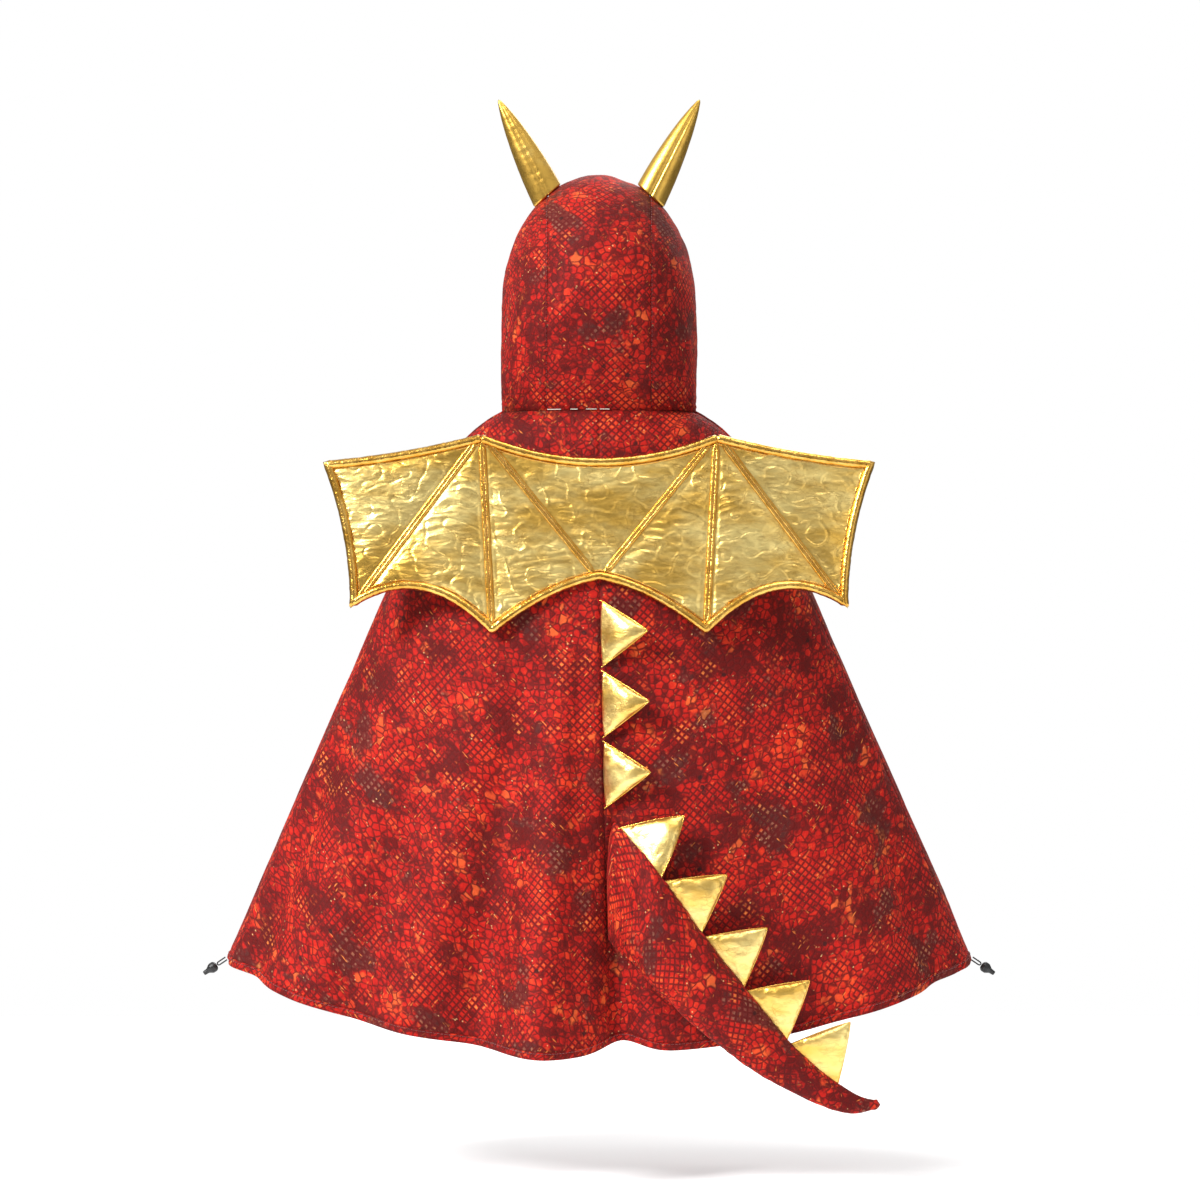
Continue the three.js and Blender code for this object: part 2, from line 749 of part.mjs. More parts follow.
function frontSheet( fromX, toX, top, bottom, low, high, nu ) {

	const at = ( u, v, out ) => {

		const x = lerp( fromX, toX, u );
		const drop = lerp( top, bottom, v );
		const across = clamp( x / halfWidth( drop ), - 1, 1 );
		return new THREE.Vector3( x, halfDepth( drop ) * Math.sqrt( 1 - across ** 2 ) + out, - drop );

	};

	return sheet( ( u, v ) => at( u, v, low( lerp( fromX, toX, u ) ) ), ( u, v ) => at( u, v, high( lerp( fromX, toX, u ) ) ), nu, 2 );

}

function buildClosure() {

	const rise = 2 * tab.pad + 2 * plyGap;
	const foot = ( x ) => plyGap + rise * THREE.MathUtils.smoothstep( x, - 14, 10 );
	const bottom = tab.top + tab.height;
	const gripLeft = 18;
	const gripTop = tab.top + 3;
	const gripBottom = bottom - 3;
	const gripRight = tab.right - 3;
	add( 'closure_tab', frontSheet( - tab.left, tab.right, tab.top, bottom, foot, ( x ) => foot( x ) + tab.cloth, 14 ), redPrint );
	const loopLow = () => plyGap;
	const loopHigh = () => plyGap + tab.pad;
	const hookLow = () => plyGap * 1.9 + tab.pad;
	const hookHigh = () => plyGap * 1.9 + tab.pad * 1.9;
	add( 'closure_loop_pad', frontSheet( gripLeft, gripRight, gripTop, gripBottom, loopLow, loopHigh, 3 ), fastener );
	add( 'closure_hook_pad', frontSheet( gripLeft, gripRight, gripTop, gripBottom, hookLow, hookHigh, 3 ), fastener );

}

// ---- drawcord pulls

function buildCordPull( name, side ) {

	const exit = capePoint( side * 90, sideDrop, 0.4 );
	const holder = new THREE.Group();
	holder.position.copy( exit );
	holder.rotation.y = side * rad( 90 + cord.angle );
	cape.add( holder );

	// in the holder's frame the pull runs along +Z, away from the hem
	const hang = cord.drop;
	const half = cord.apart / 2;
	const path = new THREE.CurvePath();
	path.add( new THREE.LineCurve3( new THREE.Vector3( half, 0, cord.diameter * 0.25 ), new THREE.Vector3( half, 0, hang - half ) ) );
	const turn = new THREE.CatmullRomCurve3( Array.from( { length: 7 }, ( _, i ) => {

		const t = i / 6 * Math.PI;
		return new THREE.Vector3( half * Math.cos( t ), 0, hang - half + half * Math.sin( t ) );

	} ) );
	path.add( turn );
	path.add( new THREE.LineCurve3( new THREE.Vector3( - half, 0, hang - half ), new THREE.Vector3( - half, 0, cord.diameter * 0.25 ) ) );
	const section = new THREE.Shape( Array.from( { length: 8 }, ( _, i ) => {

		const t = i / 8 * Math.PI * 2;
		return new THREE.Vector2( cord.diameter / 2 * Math.cos( t ), cord.diameter / 2 * Math.sin( t ) );

	} ) );
	add( `cord_${ name }`, new THREE.ExtrudeGeometry( section, { steps: 18, bevelEnabled: false, extrudePath: path } ), blackCord, holder );

	const start = hang + cord.diameter / 2 + 0.3;
	const profile = [ [ 0, 0 ], [ cordEnd.radius * 0.6, 0 ], [ cordEnd.radius, cordEnd.length * 0.3 ], [ cordEnd.radius, cordEnd.length * 0.65 ],
		[ cordEnd.neck, cordEnd.length ], [ cordEnd.neck, cordEnd.length + cordEnd.neckLength ], [ 0, cordEnd.length + cordEnd.neckLength ] ];
	const lathe = new THREE.LatheGeometry( profile.map( ( p ) => new THREE.Vector2( p[ 0 ], p[ 1 ] ) ), 12 );
	lathe.rotateX( Math.PI / 2 ).translate( 0, 0, start );
	add( `cord_end_${ name }`, lathe, blackPlastic, holder );

}

buildBody();
buildHem();
buildNeckTape();
buildHood();
buildHorns();
buildWings();
buildBackSpikes();
buildTail();
buildTailSpikes();
buildClosure();
buildCordPull( 'left', - 1 );
buildCordPull( 'right', 1 );

export default cape;
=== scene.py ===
import math
import bpy
import bmesh
from mathutils import Matrix, Vector, noise


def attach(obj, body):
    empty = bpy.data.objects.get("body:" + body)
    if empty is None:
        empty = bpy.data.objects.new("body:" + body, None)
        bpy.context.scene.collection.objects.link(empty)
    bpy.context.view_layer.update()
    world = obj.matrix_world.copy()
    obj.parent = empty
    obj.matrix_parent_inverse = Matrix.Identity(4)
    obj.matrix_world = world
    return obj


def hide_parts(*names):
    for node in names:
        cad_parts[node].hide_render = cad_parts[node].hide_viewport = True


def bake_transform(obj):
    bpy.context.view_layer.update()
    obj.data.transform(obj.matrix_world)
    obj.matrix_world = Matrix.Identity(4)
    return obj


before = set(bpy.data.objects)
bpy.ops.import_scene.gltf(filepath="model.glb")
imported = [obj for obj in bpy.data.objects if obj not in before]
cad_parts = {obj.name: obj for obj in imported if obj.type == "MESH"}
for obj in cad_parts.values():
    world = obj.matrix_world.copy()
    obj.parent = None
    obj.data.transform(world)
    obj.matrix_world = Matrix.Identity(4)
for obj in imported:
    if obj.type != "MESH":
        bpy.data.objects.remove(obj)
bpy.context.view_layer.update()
mm = 0.001


def lerp(a, b, t):
    return a + (b - a) * t


def clamp(x, low, high):
    return max(low, min(high, x))


def bump(x, width):
    return math.exp(-(x / width) ** 2)


def smooth(a, b, x):
    t = clamp((x - a) / (b - a), 0, 1)
    return t * t * (3 - 2 * t)


view = {"distance": 5.0, "height": -0.206, "frameWidth": 1.32, "sensor": 36}


def makeCamera():
    data = bpy.data.cameras.new("camera")
    data.sensor_width = view["sensor"]
    data.lens = view["sensor"] * view["distance"] / view["frameWidth"]
    data.clip_end = 50
    cam = bpy.data.objects.new("camera", data)
    bpy.context.scene.collection.objects.link(cam)
    cam.location = (0.001, -view["distance"], view["height"])
    cam.rotation_euler = (math.radians(90), 0, 0)
    bpy.context.scene.camera = cam


studio = {
    "backdrop": 1.0, "low": 0.04, "high": 0.56,  # the white behind the piece, and the soft room light
    "key": {"at": (-3.0, -2.5, 2.2), "size": 1.2, "power": 250},
    "fill": {"at": (2.8, -3.4, 0.2), "size": 2.4, "power": 17},
    "rim": {"at": (0.6, 3.0, 2.2), "size": 2.2, "power": 50},
    "top": {"at": (0.4, -0.9, 3.0), "size": 1.6, "power": 40},
    "floor": -0.83,
}


def makeLights():
    world = bpy.data.worlds.new("studio")
    world.use_nodes = True
    nodes, links = world.node_tree.nodes, world.node_tree.links
    room = nodes["Background"]
    place, split, ramp = (nodes.new(f"ShaderNode{k}") for k in ("TexCoord", "SeparateXYZ", "MapRange"))
    ramp.interpolation_type = "SMOOTHSTEP"
    for socket, value in zip(ramp.inputs[1:5], (-0.55, 0.75, studio["low"], studio["high"])):
        socket.default_value = value
    links.new(place.outputs["Generated"], split.inputs[0])
    links.new(split.outputs[2], ramp.inputs[0])
    links.new(ramp.outputs[0], room.inputs[1])
    white, ray, pick = (nodes.new(f"ShaderNode{k}") for k in ("Background", "LightPath", "MixShader"))
    white.inputs[0].default_value = room.inputs[0].default_value = (1, 1, 1, 1)
    white.inputs[1].default_value = studio["backdrop"]
    links.new(ray.outputs["Is Camera Ray"], pick.inputs[0])
    links.new(room.outputs[0], pick.inputs[1])
    links.new(white.outputs[0], pick.inputs[2])
    links.new(pick.outputs[0], nodes["World Output"].inputs[0])
    bpy.context.scene.world = world
    for name in ("key", "fill", "rim", "top"):
        s = studio[name]
        data = bpy.data.lights.new(name, "AREA")
        data.size = s["size"]
        data.energy = s["power"]
        lamp = bpy.data.objects.new(name, data)
        lamp.location = s["at"]
        aim = Vector((0, 0, -0.25)) - Vector(s["at"])
        lamp.rotation_euler = aim.to_track_quat("-Z", "Y").to_euler()
        bpy.context.scene.collection.objects.link(lamp)
    bpy.context.scene.view_settings.view_transform = "Standard"


class Val:
    def __init__(self, shade, socket):
        self.shade = shade
        self.socket = socket

    def maths(self, operation, *others):
        return self.shade.node("ShaderNodeMath", {"operation": operation}, [self, *others])

    def __add__(self, other):
        return self.maths("ADD", other)

    def __mul__(self, other):
        return self.maths("MULTIPLY", other)

    def __sub__(self, other):
        return self.maths("SUBTRACT", other)

    def __truediv__(self, other):
        return self.maths("DIVIDE", other)

    def __pow__(self, other):
        return self.maths("POWER", other)

    def __neg__(self):
        return self.maths("MULTIPLY", -1.0)

    def __radd__(self, other):
        return self.maths("ADD", other)

    def __rmul__(self, other):
        return self.maths("MULTIPLY", other)

    def __rsub__(self, other):
        return (-self).maths("ADD", other)

    def __rtruediv__(self, other):
        return (self ** -1.0).maths("MULTIPLY", other)

    def above(self, low, high):
        return self.shade.node(
            "ShaderNodeMapRange", {"interpolation_type": "SMOOTHSTEP"},
            [self, low, high, 0.0, 1.0])

    def below(self, low, high):
        return self.shade.node(
            "ShaderNodeMapRange", {"interpolation_type": "SMOOTHSTEP"},
            [self, low, high, 1.0, 0.0])


class Shade:
    def __init__(self, name):
        self.mat = bpy.data.materials.new(name)
        self.mat.use_nodes = True
        self.tree = self.mat.node_tree
        self.surface = self.tree.nodes["Principled BSDF"]

    def node(self, kind, settings=None, sockets=None, out=None):
        made = self.tree.nodes.new(kind)
        for key, value in (settings or {}).items():
            setattr(made, key, value)
        pairs = sockets.items() if isinstance(sockets, dict) else enumerate(sockets or [])
        for key, value in pairs:
            self.put(made.inputs[key], value)
        if out is None:
            return Val(self, [s for s in made.outputs if s.enabled][0])
        return Val(self, made.outputs[out])

    def put(self, socket, value):
        if isinstance(value, Val):
            self.tree.links.new(value.socket, socket)
        elif isinstance(value, tuple) and len(value) == 3 and socket.type == "RGBA":
            socket.default_value = (*value, 1)
        else:
            socket.default_value = value

    def set(self, **values):
        for key, value in values.items():
            self.put(self.surface.inputs[key.replace("_", " ")], value)

    def mix(self, factor, a, b):
        return self.node("ShaderNodeMix", {"data_type": "RGBA"}, {0: factor, 6: a, 7: b}, 2)

    def cloth(self):
        # the piece's own flat-cut coordinates, in millimetres
        uv = self.node("ShaderNodeUVMap", {"uv_map": "cloth"})
        return self.scaled(uv, (1000, 1000, 1000))

    def solid(self):
        place = self.node("ShaderNodeTexCoord", out="Object")
        return self.scaled(place, (1000, 1000, 1000))

    def scaled(self, vector, by):
        return self.node("ShaderNodeVectorMath", {"operation": "MULTIPLY"}, [vector, by])

    def moved(self, vector, by):
        return self.node("ShaderNodeVectorMath", {"operation": "ADD"}, [vector, by])

    def noise(self, vector, size, detail=3.0, rough=0.5, out="Fac"):
        return self.node(
            "ShaderNodeTexNoise", {},
            {"Vector": vector, "Scale": 1 / size, "Detail": detail, "Roughness": rough}, out)

    def cells(self, vector, size, feature="F1", out="Distance", distance="EUCLIDEAN", spread=1.0):
        settings = {"feature": feature}
        if feature == "F1":
            settings["distance"] = distance
        return self.node(
            "ShaderNodeTexVoronoi", settings,
            {"Vector": vector, "Scale": 1 / size, "Randomness": spread}, out)

    def warp(self, vector, size, amount):
        drift = self.noise(vector, size, 2.0, 0.5, "Color")
        centred = self.node("ShaderNodeVectorMath", {"operation": "SUBTRACT"}, [drift, (0.5, 0.5, 0.5)])
        return self.moved(vector, self.scaled(centred, (amount, amount, amount)))

    def red(self, colour):
        return self.node("ShaderNodeSeparateColor", {}, [colour], 0)

    def relief(self, height, strength, distance, after=None):
        sockets = {"Height": height, "Strength": strength, "Distance": distance}
        if after is not None:
            sockets["Normal"] = after
        return self.node("ShaderNodeBump", {}, sockets)


printLook = {
    "deep": (0.120, 0.0025, 0.0022), "base": (0.46, 0.0090, 0.0050), "bright": (0.74, 0.050, 0.012),
    "orange": (0.80, 0.22, 0.045), "tan": (0.72, 0.42, 0.18), "maroon": (0.070, 0.013, 0.011),
    "taupe": (0.27, 0.105, 0.065), "line": (0.095, 0.004, 0.0035), "spot": (0.030, 0.006, 0.006),
    "net": 3.1,  # half the pitch of the small scales, in millimetres
    "scale": 7.4, "bigScale": 9.6,
}


def makeRedPrint(name="red_print"):
    s = Shade(name)
    c = printLook
    flat = s.cloth()
    soft = s.warp(flat, 24.0, 12.0)
    fine = s.warp(flat, 10.0, 1.8)

    # a net of small scales on the bias of the cloth
    bias = s.node("ShaderNodeVectorRotate", {"rotation_type": "Z_AXIS"}, {"Vector": fine, "Angle": math.radians(43)})
    netX = s.node("ShaderNodeSeparateXYZ", {}, [bias], 0).maths("PINGPONG", c["net"]) / c["net"]
    netY = s.node("ShaderNodeSeparateXYZ", {}, [bias], 1).maths("PINGPONG", c["net"]) / c["net"]
    netEdge = netX.maths("MAXIMUM", netY)
    netLine, netDot = netEdge.above(0.52, 0.86), netEdge.below(0.30, 0.66)

    # larger scales with rounded corners, each of its own shade
    edge = s.cells(fine, c["scale"], "DISTANCE_TO_EDGE", spread=0.75)
    shadeOfScale = s.red(s.cells(fine, c["scale"], out="Color", spread=0.75))
    bigEdge = s.cells(soft, c["bigScale"], "DISTANCE_TO_EDGE", spread=0.85)
    bigShade = s.red(s.cells(soft, c["bigScale"], out="Color", spread=0.85))
    inNet = s.noise(flat, 52.0, 3.0, 0.6).above(0.50, 0.56)
    inBig = s.noise(s.moved(flat, (300, 40, 0)), 46.0, 3.0, 0.55).above(0.56, 0.62) * (1.0 - inNet)
    scaleLine = edge.below(0.02, 0.17) * (1.0 - inBig) + bigEdge.below(0.02, 0.13) * inBig
    line = netLine * inNet + scaleLine * (1.0 - inNet)

    cloud = s.noise(soft, 62.0, 5.0, 0.62)
    speck = s.noise(fine, 5.5, 3.0, 0.65)
    tone = cloud * 1.5 + shadeOfScale * 0.26 + bigShade * inBig * 0.25 + speck * 0.55 - 0.90
    colour = s.mix(tone.above(0.06, 0.34), c["deep"], c["base"])
    colour = s.mix(tone.above(0.34, 0.68), colour, c["bright"])

    # ragged brown patches and a few plain bright ones
    ragged = s.warp(flat, 9.0, 14.0)
    patch = s.noise(s.moved(ragged, (90, 210, 0)), 74.0, 3.5, 0.6)
    brown = patch.above(0.575, 0.625)
    colour = s.mix(brown * 0.86, colour, c["maroon"])
    plain = s.noise(s.moved(ragged, (-150, 70, 0)), 30.0, 1.5, 0.5).above(0.655, 0.69) * (1.0 - brown)
    colour = s.mix(plain * 0.55, colour, c["bright"])

    # lighter hearts of the scales
    gold = s.noise(soft, 34.0, 4.0, 0.6).above(0.52, 0.66)
    lit = (speck * 0.7 + shadeOfScale * 0.5).above(0.42, 0.78)
    colour = s.mix(netDot * inNet * gold * lit * 0.85, colour, c["orange"])
    colour = s.mix(netDot * brown * lit * 0.75, colour, c["taupe"])
    colour = s.mix(inBig * bigShade.above(0.5, 0.95) * 0.35, colour, c["orange"])
    colour = s.mix(line * 0.90, colour, c["line"])

    # short dashes on the bias in both directions
    for k, stretch in enumerate(((0.20, 1.0, 1.0), (1.0, 0.20, 1.0))):
        dash = s.cells(s.moved(s.scaled(bias, stretch), (40 * k, 0, 0)), 3.3, spread=1.0).below(0.11, 0.26)
        dash = dash * s.noise(s.moved(flat, (60 * k, 500, 0)), 24.0, 3.0, 0.6).above(0.54, 0.66)
        colour = s.mix(dash * 0.80, colour, c["orange"])
    fleck = s.cells(flat, 7.0).below(0.07, 0.17) * s.noise(flat, 30.0).above(0.50, 0.60)
    colour = s.mix(fleck * 0.75, colour, c["tan"])

    # small dark spots
    ink = s.cells(s.warp(flat, 7.0, 2.0), 21.0).below(0.09, 0.16) * s.noise(flat, 60.0, 2.0, 0.5).above(0.46, 0.54)
    colour = s.mix(ink * 0.85, colour, c["spot"])

    pile = s.noise(flat, 0.8, 2.0, 0.6)
    nap = s.noise(s.scaled(flat, (1.0, 0.35, 1.0)), 15.0, 4.0, 0.6)
    emboss = s.relief(line * -1.0 + pile * 0.3, 0.5, 0.0007)
    s.set(
        Base_Color=colour, Roughness=0.60 + nap * 0.25, Normal=s.relief(nap, 0.35, 0.0022, emboss),
        Sheen_Weight=0.07, Sheen_Roughness=0.45, Sheen_Tint=(1.0, 0.36, 0.26), Specular_IOR_Level=0.18)
    return s.mat


liningLook = {"dark": (0.13, 0.010, 0.009), "light": (0.27, 0.022, 0.018)}


def makeLining():
    s = Shade("red_lining")
    flat = s.cloth()
    warpThread = s.node("ShaderNodeTexWave", {"wave_type": "BANDS", "bands_direction": "X"},
                        {"Vector": flat, "Scale": 0.9, "Distortion": 0.6}, "Fac")
    weftThread = s.node("ShaderNodeTexWave", {"wave_type": "BANDS", "bands_direction": "Y"},
                        {"Vector": flat, "Scale": 0.9, "Distortion": 0.6}, "Fac")
    weave = warpThread * weftThread
    shade = s.noise(s.scaled(flat, (1.0, 0.3, 1.0)), 40.0, 4.0, 0.6)
    colour = s.mix(shade.above(0.35, 0.7), liningLook["dark"], liningLook["light"])
    s.set(Base_Color=colour, Roughness=0.36 + weave * 0.2,
          Normal=s.relief(weave + shade * 2.0, 0.4, 0.0006),
          Sheen_Weight=0.25, Sheen_Roughness=0.3)
    return s.mat


# one gold in three copies: shade is painted shade for the creases and cracks, light is a paler gold painted as
# highlight, base is the foil's own gold
foilLook = {"shade": (0.40, 0.18, 0.018), "base": (0.86, 0.52, 0.095), "light": (1.0, 0.78, 0.29)}


def makeFoil(name="gold_foil", calm=0.30, paintedHighlight=0.0, crackled=1.0):
    s = Shade(name)
    c = foilLook
    place = s.solid()
    wide = s.scaled(place, (0.42, 0.8, 1.0))  # creases run mostly across
    crease = s.noise(s.warp(wide, 26.0, 10.0), 13.0, 5.0, 0.62)
    fold = (crease - 0.5).maths("ABSOLUTE").below(0.0, 0.055)
    crackle = s.cells(s.warp(s.scaled(place, (0.7, 1.0, 1.0)), 8.0, 4.0), 6.5, "DISTANCE_TO_EDGE").below(0.0, 0.07)
    crackle = crackle * s.noise(place, 30.0, 2.0, 0.5).above(0.5, 0.64) * crackled
    grain = s.cells(place, 1.5, spread=1.0)
    tone = s.noise(wide, 48.0, 4.0, 0.6)
    # paler gold in random patches: partly the foil's own uneven tone, partly painted highlight
    colour = s.mix(tone.above(0.34 - paintedHighlight, 0.66 - paintedHighlight), c["base"], c["light"])
    # painted shade: the crease lines and the crackle are darkened towards the shade colour; the crackle's dark lines
    # are partly the foil's own cracks
    colour = s.mix(fold * 0.22 + crackle * 0.34, colour, c["shade"])
    bumps = s.relief(crease, calm, 0.0030)
    bumps = s.relief(crackle * -1.0 + grain * 0.6, 0.22, 0.0004, bumps)
    s.set(
        Base_Color=colour, Metallic=0.96, Roughness=0.20 + tone * 0.18 + grain * 0.08, Normal=bumps,
        Coat_Weight=0.12, Coat_Roughness=0.25, Specular_IOR_Level=0.5)
    return s.mat


def makePiping():
    s = Shade("gold_piping")
    place = s.solid()
    tone = s.noise(place, 18.0, 4.0, 0.6)
    pucker = s.noise(place, 4.5, 3.0, 0.6)
    colour = s.mix(tone.above(0.35, 0.7), (0.66, 0.34, 0.045), (0.86, 0.52, 0.12))
    s.set(Base_Color=colour, Metallic=0.97, Roughness=0.16 + pucker * 0.14,
          Normal=s.relief(pucker, 0.5, 0.0016), Coat_Weight=0.2, Coat_Roughness=0.2)
    return s.mat


def makeThread(name, colour):
    s = Shade(name)
    twist = s.node("ShaderNodeTexWave", {"wave_type": "BANDS", "bands_direction": "DIAGONAL"},
                   {"Vector": s.solid(), "Scale": 0.9, "Distortion": 0.0}, "Fac")
    # painted shade: the thread is darker in the grooves of its twist, where the bump sinks
    shade = s.mix(twist, tuple(x * 0.6 for x in colour), colour)
    s.set(Base_Color=shade, Roughness=0.6 + twist * 0.15, Normal=s.relief(twist, 0.5, 0.0003), Sheen_Weight=0.3)
    return s.mat


def makeBlackPlastic():
    s = Shade("black_plastic")
    place = s.solid()
    scuff = s.noise(place, 3.0, 4.0, 0.6)
    skin = s.noise(place, 0.35, 2.0, 0.5)
    colour = s.mix(scuff.above(0.45, 0.75), (0.010, 0.010, 0.011), (0.022, 0.021, 0.020))
    s.set(Base_Color=colour, Roughness=0.30 + scuff * 0.22, Normal=s.relief(skin, 0.25, 0.0001),
          Specular_IOR_Level=0.5)
    return s.mat


def makeHookTape(name, colour):
    s = Shade(name)
    place = s.solid()
    loops = s.cells(place, 0.8, spread=0.7)
    fuzz = s.noise(place, 2.4, 4.0, 0.7)
    shade = s.mix(loops.above(0.1, 0.7), colour, tuple(x * 0.35 for x in colour))
    shade = s.mix(fuzz.above(0.5, 0.8) * 0.3, shade, (0.5, 0.12, 0.09))
    s.set(Base_Color=shade, Roughness=0.8 + fuzz * 0.15, Normal=s.relief(loops, 0.9, 0.0006), Sheen_Weight=0.4)
    return s.mat


def makeFloor():
    s = Shade("pale_floor")
    place = s.node("ShaderNodeTexCoord", out="Object")
    paper = s.noise(place, 0.6, 4.0, 0.6)
    colour = s.mix(paper, (0.86, 0.86, 0.86), (0.90, 0.90, 0.90))
    s.set(Base_Color=colour, Roughness=0.95, Emission_Color=(1.0, 1.0, 1.0), Emission_Strength=0.36)
    return s.mat


mats = {}


def makeMaterials():
    mats["print"] = makeRedPrint()
    mats["lining"] = makeLining()
    mats["foil"] = makeFoil()
    mats["hornFoil"] = makeFoil("horn_foil", 0.06, -0.2, 0.0)
    mats["piping"] = makePiping()
    mats["cream"] = makeThread("cream_thread", (0.85, 0.80, 0.70))
    mats["goldThread"] = makeThread("gold_thread", (0.55, 0.30, 0.05))
    mats["redThread"] = makeThread("red_thread", (0.22, 0.015, 0.012))
    mats["cord"] = makeThread("black_elastic", (0.020, 0.020, 0.021))
    mats["plastic"] = makeBlackPlastic()
    mats["hook"] = makeHookTape("hook_tape", (0.20, 0.02, 0.018))
    mats["loop"] = makeHookTape("loop_tape", (0.30, 0.03, 0.024))
    mats["floor"] = makeFloor()


def link(name, bm, mat, body, nodes=()):
    mesh = bpy.data.meshes.new(name)
    bm.to_mesh(mesh)
    bm.free()
    for face in mesh.polygons:
        face.use_smooth = True
    mesh.materials.append(mat)
    obj = bpy.data.objects.new(name, mesh)
    bpy.context.scene.collection.objects.link(obj)
    if body:
        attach(obj, body)
    if nodes:
        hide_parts(*nodes)
    return obj


def bend(bm, nu, nv, at, fromEnd=False, shared=False):
    # bends a flat grid by at(u, v), which answers in millimetres, and lays its cloth coordinates out in metres
    layer = bm.loops.layers.uv.get("cloth") or bm.loops.layers.uv.new("cloth")
    made = bmesh.ops.create_grid(bm, x_segments=nu, y_segments=nv, size=0.5)["verts"]
    cell, place = {}, {}
    for v in made:
        key = (round((v.co.x + 0.5) * nu), round((v.co.y + 0.5) * nv))
        cell[v] = key
        v.co = at(key[0] / nu, key[1] / nv) * mm
        place[key] = v.co
    across = {}
    for j in range(nv + 1):
        run = [0.0]
        for i in range(nu):
            run.append(run[-1] + (place[(i + 1, j)] - place[(i, j)]).length)
        for i in range(nu + 1):
            across[(i, j)] = run[i] - (run[-1] if fromEnd else 0)
    down = {}
    for i in range(nu + 1):
        down[(i, 0)] = 0.0
        for j in range(nv):
            k = nu // 4 if shared else i  # a sleeve is measured once, along its outer side
            down[(i, j + 1)] = down[(i, j)] + (place[(k, j + 1)] - place[(k, j)]).length
    for f in {f for v in made for f in v.link_faces}:
        for loop in f.loops:
            i, j = cell[loop.vert]
            loop[layer].uv = (across[(i, j)], -down[(i, j)])
    return made


def faceFrom(bm, centre, inward=False):
    # turns an open sheet so that its faces look away from the centre, or towards it
    bm.normal_update()
    look = sum((f.calc_center_median() - Vector(centre)).dot(f.normal) * f.calc_area() for f in bm.faces)
    if (look < 0) != inward:
        bmesh.ops.reverse_faces(bm, faces=bm.faces[:])


def sheetPiece(name, nu, nv, at, mat, body, nodes, slot, thick, centre=(0, 0, -0.3), inward=False, fromEnd=False):
    bm = bmesh.new()
    bend(bm, nu, nv, at, fromEnd)
    faceFrom(bm, centre, inward)
    obj = link(name, bm, mat, body, nodes)
    cloth = obj.modifiers.new("thickness", "SOLIDIFY")
    cloth.thickness = thick * mm
    cloth.offset = -1
    return obj


def cutSize(obj):
    # the width, length and area of the flat piece, in metres
    mesh = obj.data
    flat = [tuple(c.uv) for c in mesh.uv_layers["cloth"].data]
    width = max(x for x, y in flat) - min(x for x, y in flat)
    length = max(y for x, y in flat) - min(y for x, y in flat)
    return width, length, sum(f.area for f in mesh.polygons)


def declareSheet(obj):
    width, length, area = cutSize(obj)
    print(f"{obj.name}: cut {width * 1000:.0f} x {length * 1000:.0f} mm, {area:.4f} m2")


def closedPiece(name, nu, nv, at, mat, body, nodes=(), marks=None):
    # a sleeve of cloth closed along one line and at both ends
    bm = bmesh.new()
    free = bm.verts.layers.float.new("free")
    bend(bm, nu, nv, at, shared=True)
    bmesh.ops.remove_doubles(bm, verts=bm.verts[:], dist=2e-6)
    bmesh.ops.recalc_face_normals(bm, faces=bm.faces[:])
    for v in bm.verts:
        v[free] = marks(v.co / mm) if marks else 1.0
    return link(name, bm, mat, body, nodes)


def tubePiece(name, points, radius, mat, body, sides=10, ends=True, nodes=()):
    # a round tube along points in millimetres; the radius is a number or a function of the distance run
    runs = [0.0]
    for a, b in zip(points, points[1:]):
        runs.append(runs[-1] + (b - a).length)
    total = runs[-1]
    frames, side = [], None
    for i in range(len(points)):
        along = (points[min(i + 1, len(points) - 1)] - points[max(i - 1, 0)]).normalized()
        if side is None:
            side = along.orthogonal().normalized()
        side = (side - along * side.dot(along)).normalized()
        frames.append((side, along.cross(side)))
    thick = radius if callable(radius) else (lambda s: radius)

    def at(u, v):
        i = round(v * (len(points) - 1))
        r = thick(runs[i])
        near = min(runs[i], total - runs[i])
        if ends and near < r:
            r *= math.sqrt(max(1 - ((r - near) / r) ** 2, 0))
        if ends and i in (0, len(points) - 1):
            r = 0
        turn = 2 * math.pi * u
        return points[i] + frames[i][0] * (r * math.cos(turn)) + frames[i][1] * (r * math.sin(turn))

    return closedPiece(name, sides, len(points) - 1, at, mat, body, nodes)


def evenly(points, step, rounded=0):
    # the same line with a point at every step, its corners cut first
    for _ in range(rounded):
        cut = [points[0]]
        for a, b in zip(points, points[1:]):
            cut += [a.lerp(b, 0.25), a.lerp(b, 0.75)]
        points = cut + [points[-1]]
    runs = [0.0]
    for a, b in zip(points, points[1:]):
        runs.append(runs[-1] + (b - a).length)
    count = max(int(runs[-1] / step), 2)
    out, k = [], 0
    for i in range(count + 1):
        s = runs[-1] * i / count
        while k < len(runs) - 2 and runs[k + 1] < s:
            k += 1
        out.append(points[k].lerp(points[k + 1], clamp((s - runs[k]) / max(runs[k + 1] - runs[k], 1e-6), 0, 1)))
    return out


def withEnds(points, radius):
    # close rings at both ends, so that the tube's ends are round
    def cap(a, b):
        step = (b - a).normalized() * radius
        return [a + step * f for f in (0, 0.04, 0.15, 0.35, 0.62, 1.0)]
    inner = [p for p in points if (p - points[0]).length > radius * 1.05 and (p - points[-1]).length > radius * 1.05]
    return cap(points[0], points[1]) + inner + cap(points[-1], points[-2])[::-1]


def stitchRow(name, path, mat, body, length=2.4, gap=1.0, radius=0.32):
    path = evenly(path, 1.0)
    bm = bmesh.new()
    k, step = 1, max(int(round(length)), 1)
    hop = max(int(round(length + gap)), step + 1)
    while k + step < len(path) - 1:
        a, b = path[k], path[k + step]
        turn = (b - a).to_track_quat("Z", "Y").to_matrix().to_4x4()
        turn.translation = a.lerp(b, 0.5) * mm
        bmesh.ops.create_cone(
            bm, cap_ends=True, segments=6, radius1=radius * mm, radius2=radius * mm,
            depth=(b - a).length * mm, matrix=turn)
        k += hop
    return link(name, bm, mat, body)


